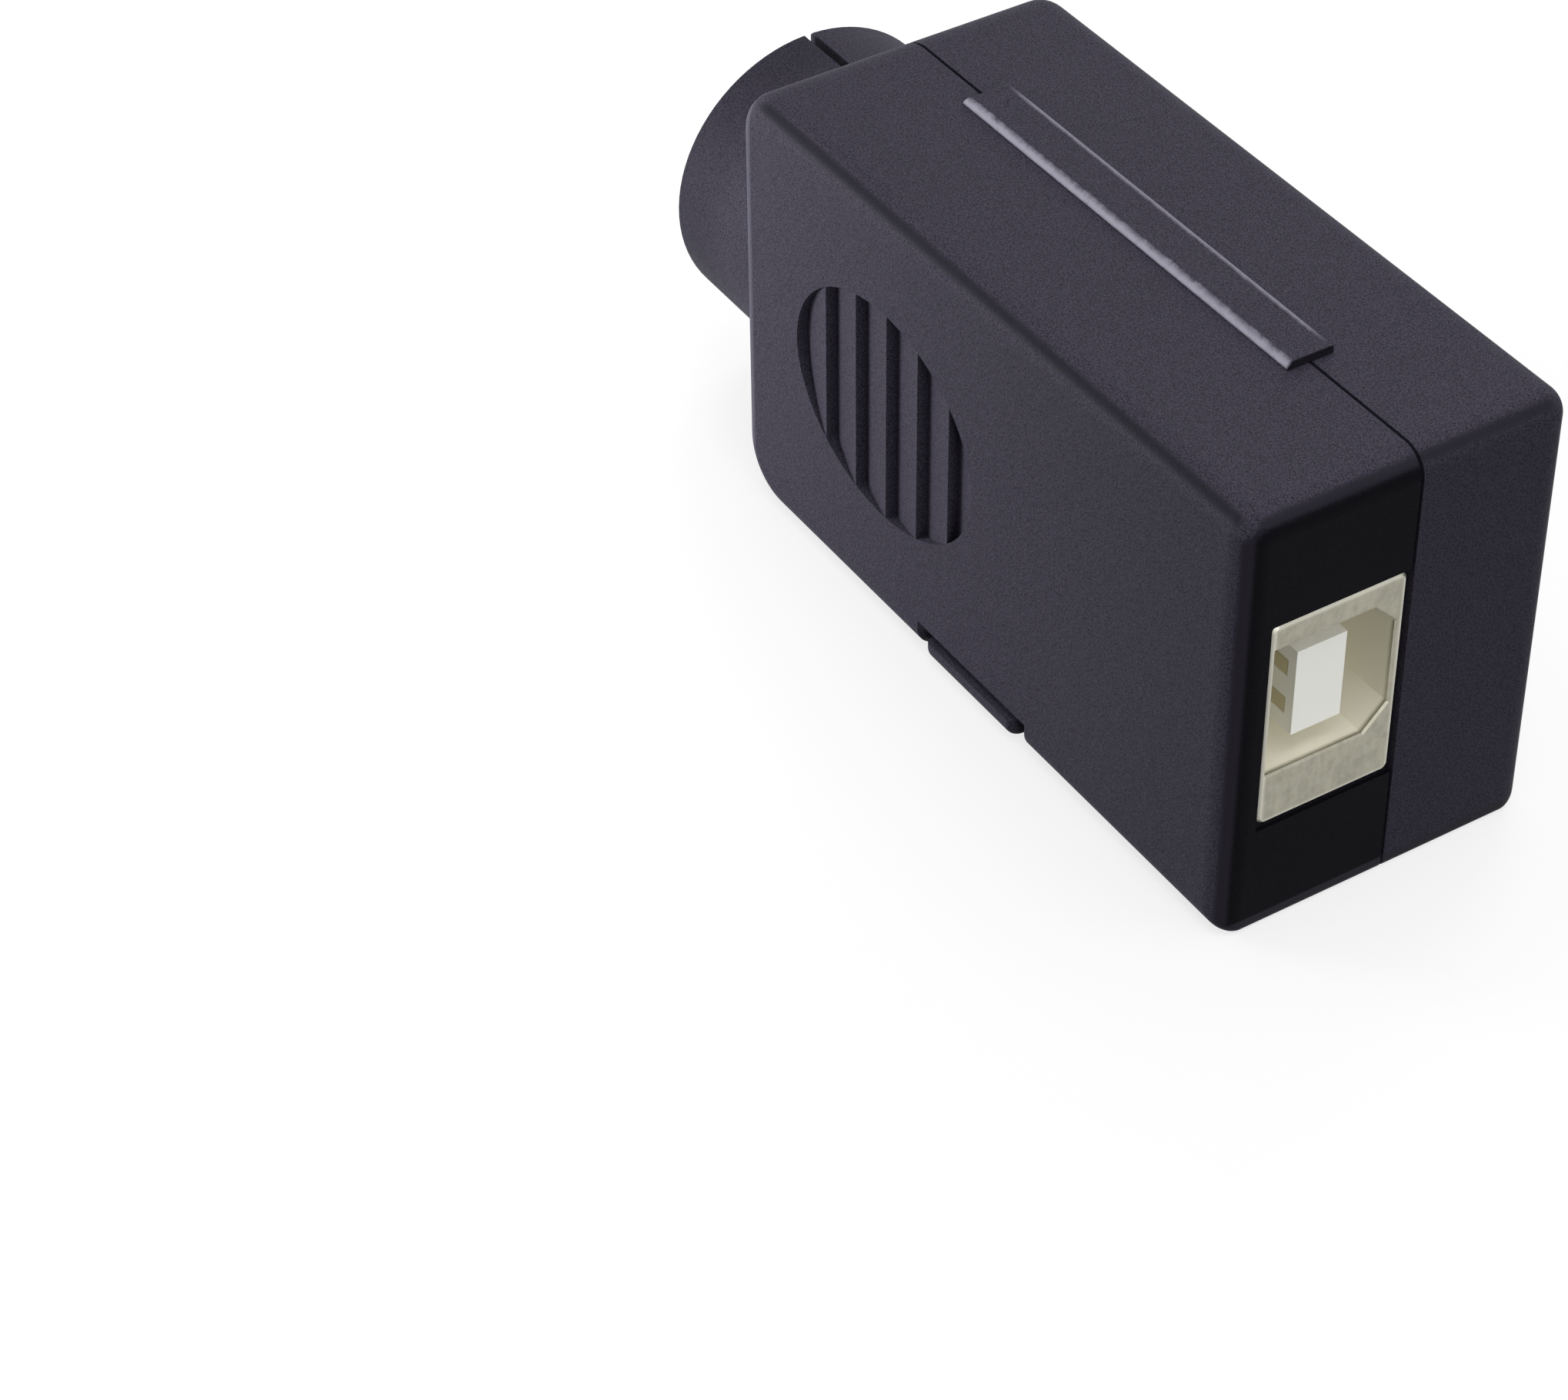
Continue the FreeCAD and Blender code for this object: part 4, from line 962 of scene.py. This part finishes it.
# %% Tracks on the board
TRACK_WIDTH = 0.18
TRACK_THICKNESS = 0.03 * MM
LEAN_RIGHT = Vector((0, TRACK_WIDTH, TRACK_WIDTH)) * MM
LEAN_LEFT = Vector((0, TRACK_WIDTH, -TRACK_WIDTH)) * MM
routes = [
    ((-1.4, -0.68), LEAN_RIGHT, [(-0.9, 0), (-1.07, 1.07)]),
    ((-1.4, -0.03), LEAN_RIGHT, [(-0.2, 0), (-0.4, 0.4), (0, 1.3), (-1.3, 1.3)]),
    ((-1.4, -1.33), LEAN_RIGHT, [(-3.2, 0), (-1.7, 1.7)]),
    ((-1.25, -5.9), LEAN_RIGHT, [(0, -0.75)]),
    ((3.2, 4.6), LEAN_RIGHT, [(0, 5.2)]),
    ((4.4, 4.6), LEAN_RIGHT, [(0, 2.4)]),
    ((5.6, 4.6), LEAN_RIGHT, [(0, 6.3), (-0.9, 0.9), (-3.5, 0)]),
    ((1.3, 11.95), LEAN_LEFT, [(0, -2.1)]),
    ((0.4, 3.9), LEAN_RIGHT, [(0, 4.5), (-1.0, 1.0), (0, 0.4)]),
    ((-2.5, 9.8), LEAN_RIGHT, [(1.2, -1.2), (0, -3.3)]),
    ((-1.3, 5.4), LEAN_LEFT, [(-2.07, -2.07), (0, -0.4)]),
    ((-4.4, 9.8), LEAN_LEFT, [(0, -4.4), (-1.9, -1.9), (0, -0.6)]),
    ((6.9, -5.9), LEAN_LEFT, [(0, -1.2), (-1.0, -1.0), (-0.9, 0)]),
]
tracks = bmesh.new()
for (across, up), lean, moves in routes:
    start = Vector((board_face - TRACK_THICKNESS, across * MM, up * MM))
    steps = [Vector((0, step_across, step_up)) * MM for step_across, step_up in moves]
    add_strip(tracks, start, lean, steps, TRACK_THICKNESS)
finish_piece("board_tracks", tracks, copper_mask)

# %% [markdown]
# Chip capacitors and resistors are dipped in tin at both ends. Each end cap is a block a little
# larger than the body, over the last fifth of its length.

# %% End caps
CAP_GROWTH = 0.03 * MM
CAP_SHARE = 0.2
CAP_EDGE = 0.05 * MM


def add_end_caps(shape, name):
    """Two caps over the ends of the longer side of a block on the board."""
    low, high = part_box(name)
    along = 1 if high.y - low.y > high.z - low.z else 2
    length = CAP_SHARE * (high[along] - low[along])
    grow = Vector((CAP_GROWTH, CAP_GROWTH, CAP_GROWTH))
    for at_high in (False, True):
        cap_low, cap_high = low - grow, high + grow
        cap_high.x = board_face
        if at_high:
            cap_low[along] = high[along] - length
        else:
            cap_high[along] = low[along] + length
        add_block(shape, cap_low, cap_high, CAP_EDGE)


for kind in ("capacitor", "resistor"):
    caps = bmesh.new()
    for name in sorted(nodes):
        if name.startswith(kind):
            add_end_caps(caps, name)
    finish_piece(f"{kind}_caps", caps, tin_metal)

# %% [markdown]
# Everything that goes through the board ends on its back in a cone of solder with hollow sides: the
# four contacts of the socket, the legs of its shield, and the flat tails of the leads. A profile
# turned round gives the cone, and for the shield's flat legs the cone is stretched.

# %% Solder joints
PIN_JOINT = [
    (0.0, 0.0),
    (0.62, 0.0),
    (0.45, 0.09),
    (0.33, 0.24),
    (0.26, 0.5),
    (0.22, 0.78),
    (0.12, 0.9),
    (0.0, 0.93),
]
PAD_JOINT = [
    (0.0, 0.0),
    (0.85, 0.0),
    (0.72, 0.12),
    (0.55, 0.3),
    (0.34, 0.46),
    (0.14, 0.54),
    (0.0, 0.56),
]
TAIL_HALF_WIDTH = 0.43 * MM
TAIL_HALF_LENGTH = 0.5 * MM
SHIELD_LEG_INSET = 0.3 * MM
SHIELD_LEG_SHARES = (0.25, 0.68)
SHIELD_LEG_STRETCH = 1.35


def scaled(profile):
    """Radius and height pairs turned from millimetres into metres."""
    return [(radius * MM, height * MM) for radius, height in profile]


joints = bmesh.new()
for name in sorted(nodes):
    if name.startswith("usb_contact"):
        low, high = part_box(name)
        place = (low + high) / 2
        place.x = board_face
        add_turned(joints, place, scaled(PIN_JOINT))
    elif name.startswith("wire_lead"):
        low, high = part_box(name)
        place = Vector((board_face, low.y + TAIL_HALF_WIDTH, high.z - TAIL_HALF_LENGTH))
        add_turned(joints, place, scaled(PAD_JOINT))
for place_z in (shield_low.z + SHIELD_LEG_INSET, shield_high.z - SHIELD_LEG_INSET):
    for share in SHIELD_LEG_SHARES:
        place_y = shield_low.y + share * (shield_high.y - shield_low.y)
        place = Vector((board_face, place_y, place_z))
        add_turned(joints, place, scaled(PAD_JOINT), SHIELD_LEG_STRETCH)
finish_piece("solder_joints", joints, solder_metal)

# %% [markdown]
# The part stands on a plain white table. One large plane is enough, because the camera looks down
# and never sees its edge. The lens, and what shines or is clear, see the table as white paper
# with a soft shadow. It throws back less light than white paper would, as a table does that is
# mostly in the shade of the tent, and that keeps the lower half of the part dark.

# %% Floor
FLOOR_WHITE = tone(250, 250, 250)
FLOOR_BOUNCE = tone(96, 96, 96)
PAPER_GLOW = 0.72
FLOOR_HALF = 1.5
FLOOR_ROUGHNESS = 0.9


def seen_directly(tree):
    """1 for rays from the lens, a shine or a clear piece, and 0 for light that is thrown back."""
    seen = add_node(tree, "ShaderNodeLightPath")
    camera_ray, glossy_ray = seen.outputs["Is Camera Ray"], seen.outputs["Is Glossy Ray"]
    direct = arithmetic(tree, "MAXIMUM", camera_ray, glossy_ray)
    return arithmetic(tree, "MAXIMUM", direct, seen.outputs["Is Transmission Ray"])


def make_floor():
    mesh = bpy.data.meshes.new("floor")
    shape = bmesh.new()
    bmesh.ops.create_grid(shape, x_segments=1, y_segments=1, size=FLOOR_HALF)
    bmesh.ops.translate(shape, verts=shape.verts, vec=(0, 0, floor_z))
    shape.to_mesh(mesh)
    shape.free()
    floor = bpy.data.objects.new("floor", mesh)
    bpy.context.scene.collection.objects.link(floor)
    material, shader = start_material("floor_white", FLOOR_ROUGHNESS, specular=0.0)
    shader.inputs["Base Color"].default_value = FLOOR_BOUNCE
    tree = material.node_tree
    paper = add_node(tree, "ShaderNodeBsdfDiffuse", Color=FLOOR_WHITE)
    glow = add_node(tree, "ShaderNodeEmission", Color=(1.0, 1.0, 1.0, 1.0), Strength=1.0)
    white = add_node(tree, "ShaderNodeMixShader", Fac=PAPER_GLOW)
    tree.links.new(paper.outputs[0], white.inputs[1])
    tree.links.new(glow.outputs[0], white.inputs[2])
    table = add_node(tree, "ShaderNodeMixShader", Fac=seen_directly(tree))
    tree.links.new(shader.outputs[0], table.inputs[1])
    tree.links.new(white.outputs[0], table.inputs[2])
    tree.links.new(table.outputs[0], tree.nodes["Material Output"].inputs["Surface"])
    mesh.materials.append(material)
    floor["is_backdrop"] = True
    print("floor at", round(floor_z / MM, 1), "mm,", 2 * FLOOR_HALF, "m wide")


make_floor()

# %% [markdown]
# Small dark products are often shot in a white tent: even light from above, walls that darken
# towards the table, and an opening, here on the part's left, which gives less light. The world
# makes the tent: its strength rises with height, and falls towards the opening. The lens and
# anything shiny see it as plain white.

# %% World: the tent
WALL_HEIGHTS = (0.1, 0.55)
WALL_LEVELS = (0.12, 0.7)
OPENING_SPAN = (-0.75, 0.1)
OPENING_SHARES = (0.35, 1.0)


def ramp(tree, value, reach, levels):
    """Smooth change between two levels, over a stretch of the value."""
    node = add_node(
        tree,
        "ShaderNodeMapRange",
        {"interpolation_type": "SMOOTHSTEP"},
        Value=value,
        From_Min=reach[0],
        From_Max=reach[1],
        To_Min=levels[0],
        To_Max=levels[1],
    )
    return node.outputs["Result"]


def make_tent():
    world = bpy.data.worlds.new("tent")
    world.use_nodes = True
    tree = world.node_tree
    sky = tree.nodes["Background"]
    place = add_node(tree, "ShaderNodeTexCoord")
    axes = add_node(tree, "ShaderNodeSeparateXYZ", Vector=place.outputs["Generated"])
    level = ramp(tree, axes.outputs["Z"], WALL_HEIGHTS, WALL_LEVELS)
    opening = ramp(tree, axes.outputs["Y"], OPENING_SPAN, OPENING_SHARES)
    level = arithmetic(tree, "MULTIPLY", level, opening)
    missing = arithmetic(tree, "SUBTRACT", 1.0, level)
    missing = arithmetic(tree, "MULTIPLY", missing, seen_directly(tree))
    strength = arithmetic(tree, "ADD", level, missing)
    tree.links.new(strength, sky.inputs["Strength"])
    sky.inputs["Color"].default_value = (1.0, 1.0, 1.0, 1.0)
    bpy.context.scene.world = world
    print("tent has", len(tree.nodes), "nodes")


make_tent()

# %% [markdown]
# Four soft panels give the faces their slightly different levels. A large one hangs above, one
# stands in front of the socket's end and one behind on the right. A small weak one is close to the
# back of the left face, so that its light falls off towards the front. The lens doesn't see the
# panels themselves.

# %% Light panels
def add_panel(name, place, aim, size, power):
    """Square area light, unseen by the lens, pointed at the aim; metres and watts."""
    light = bpy.data.lights.new(name, "AREA")
    light.shape = "SQUARE"
    light.size = size
    light.energy = power
    panel = bpy.data.objects.new(name, light)
    panel.location = place
    panel.visible_camera = False
    panel.rotation_mode = "QUATERNION"
    panel.rotation_quaternion = (Vector(aim) - Vector(place)).to_track_quat("-Z", "Y")
    bpy.context.scene.collection.objects.link(panel)
    print(name, power, "W,", size, "m wide")


middle = (cad_low + cad_high) / 2
add_panel("top_panel", (0.05, 0.0, 0.6), middle, 0.5, 1.5)
add_panel("left_panel", (-0.055, -0.08, 0.005), (-0.006, -0.01, 0.0), 0.05, 0.14)
add_panel("front_panel", (0.46, -0.06, 0.12), middle, 0.25, 0.82)
add_panel("back_panel", (-0.2, 0.3, 0.2), middle, 0.2, 0.35)

# %% [markdown]
# The camera repeats the photograph's: a long lens in front of the socket's end, towards the left
# shell's side and above the part. Its place was worked out from the outline of the housing.

# %% Camera
CAMERA_PLACE = Vector((173.6, -114.1, 143.1)) * MM
CAMERA_AZIMUTH = 58.66
CAMERA_ELEVATION = 40.75
CAMERA_ROLL = 0.9
SENSOR_WIDTH = 36.0
FOCAL_PIXELS = 5482.0
PHOTO_WIDTH = 2038.0
NEAREST_SEEN = 10 * MM


def add_camera():
    data = bpy.data.cameras.new("camera")
    data.sensor_width = SENSOR_WIDTH
    data.lens = FOCAL_PIXELS / PHOTO_WIDTH * SENSOR_WIDTH
    data.clip_start = NEAREST_SEEN
    camera = bpy.data.objects.new("camera", data)
    turn, rise = math.radians(CAMERA_AZIMUTH), math.radians(CAMERA_ELEVATION)
    back = Vector(
        (math.sin(turn) * math.cos(rise), -math.cos(turn) * math.cos(rise), math.sin(rise))
    )
    camera.rotation_mode = "QUATERNION"
    roll = Quaternion((0, 0, 1), math.radians(-CAMERA_ROLL))
    camera.rotation_quaternion = (-back).to_track_quat("-Z", "Y") @ roll
    camera.location = CAMERA_PLACE
    bpy.context.scene.collection.objects.link(camera)
    bpy.context.scene.camera = camera
    print("lens", round(data.lens, 1), "mm")


add_camera()
bpy.context.scene.view_settings.view_transform = "Standard"

# %% [markdown]
# Last, the box of the dressed part is compared with the box of the bare solids.

# %% Sizes
low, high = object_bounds()
print("grows by", [round(v / MM, 3) for v in (high - low) - (cad_high - cad_low)], "mm")
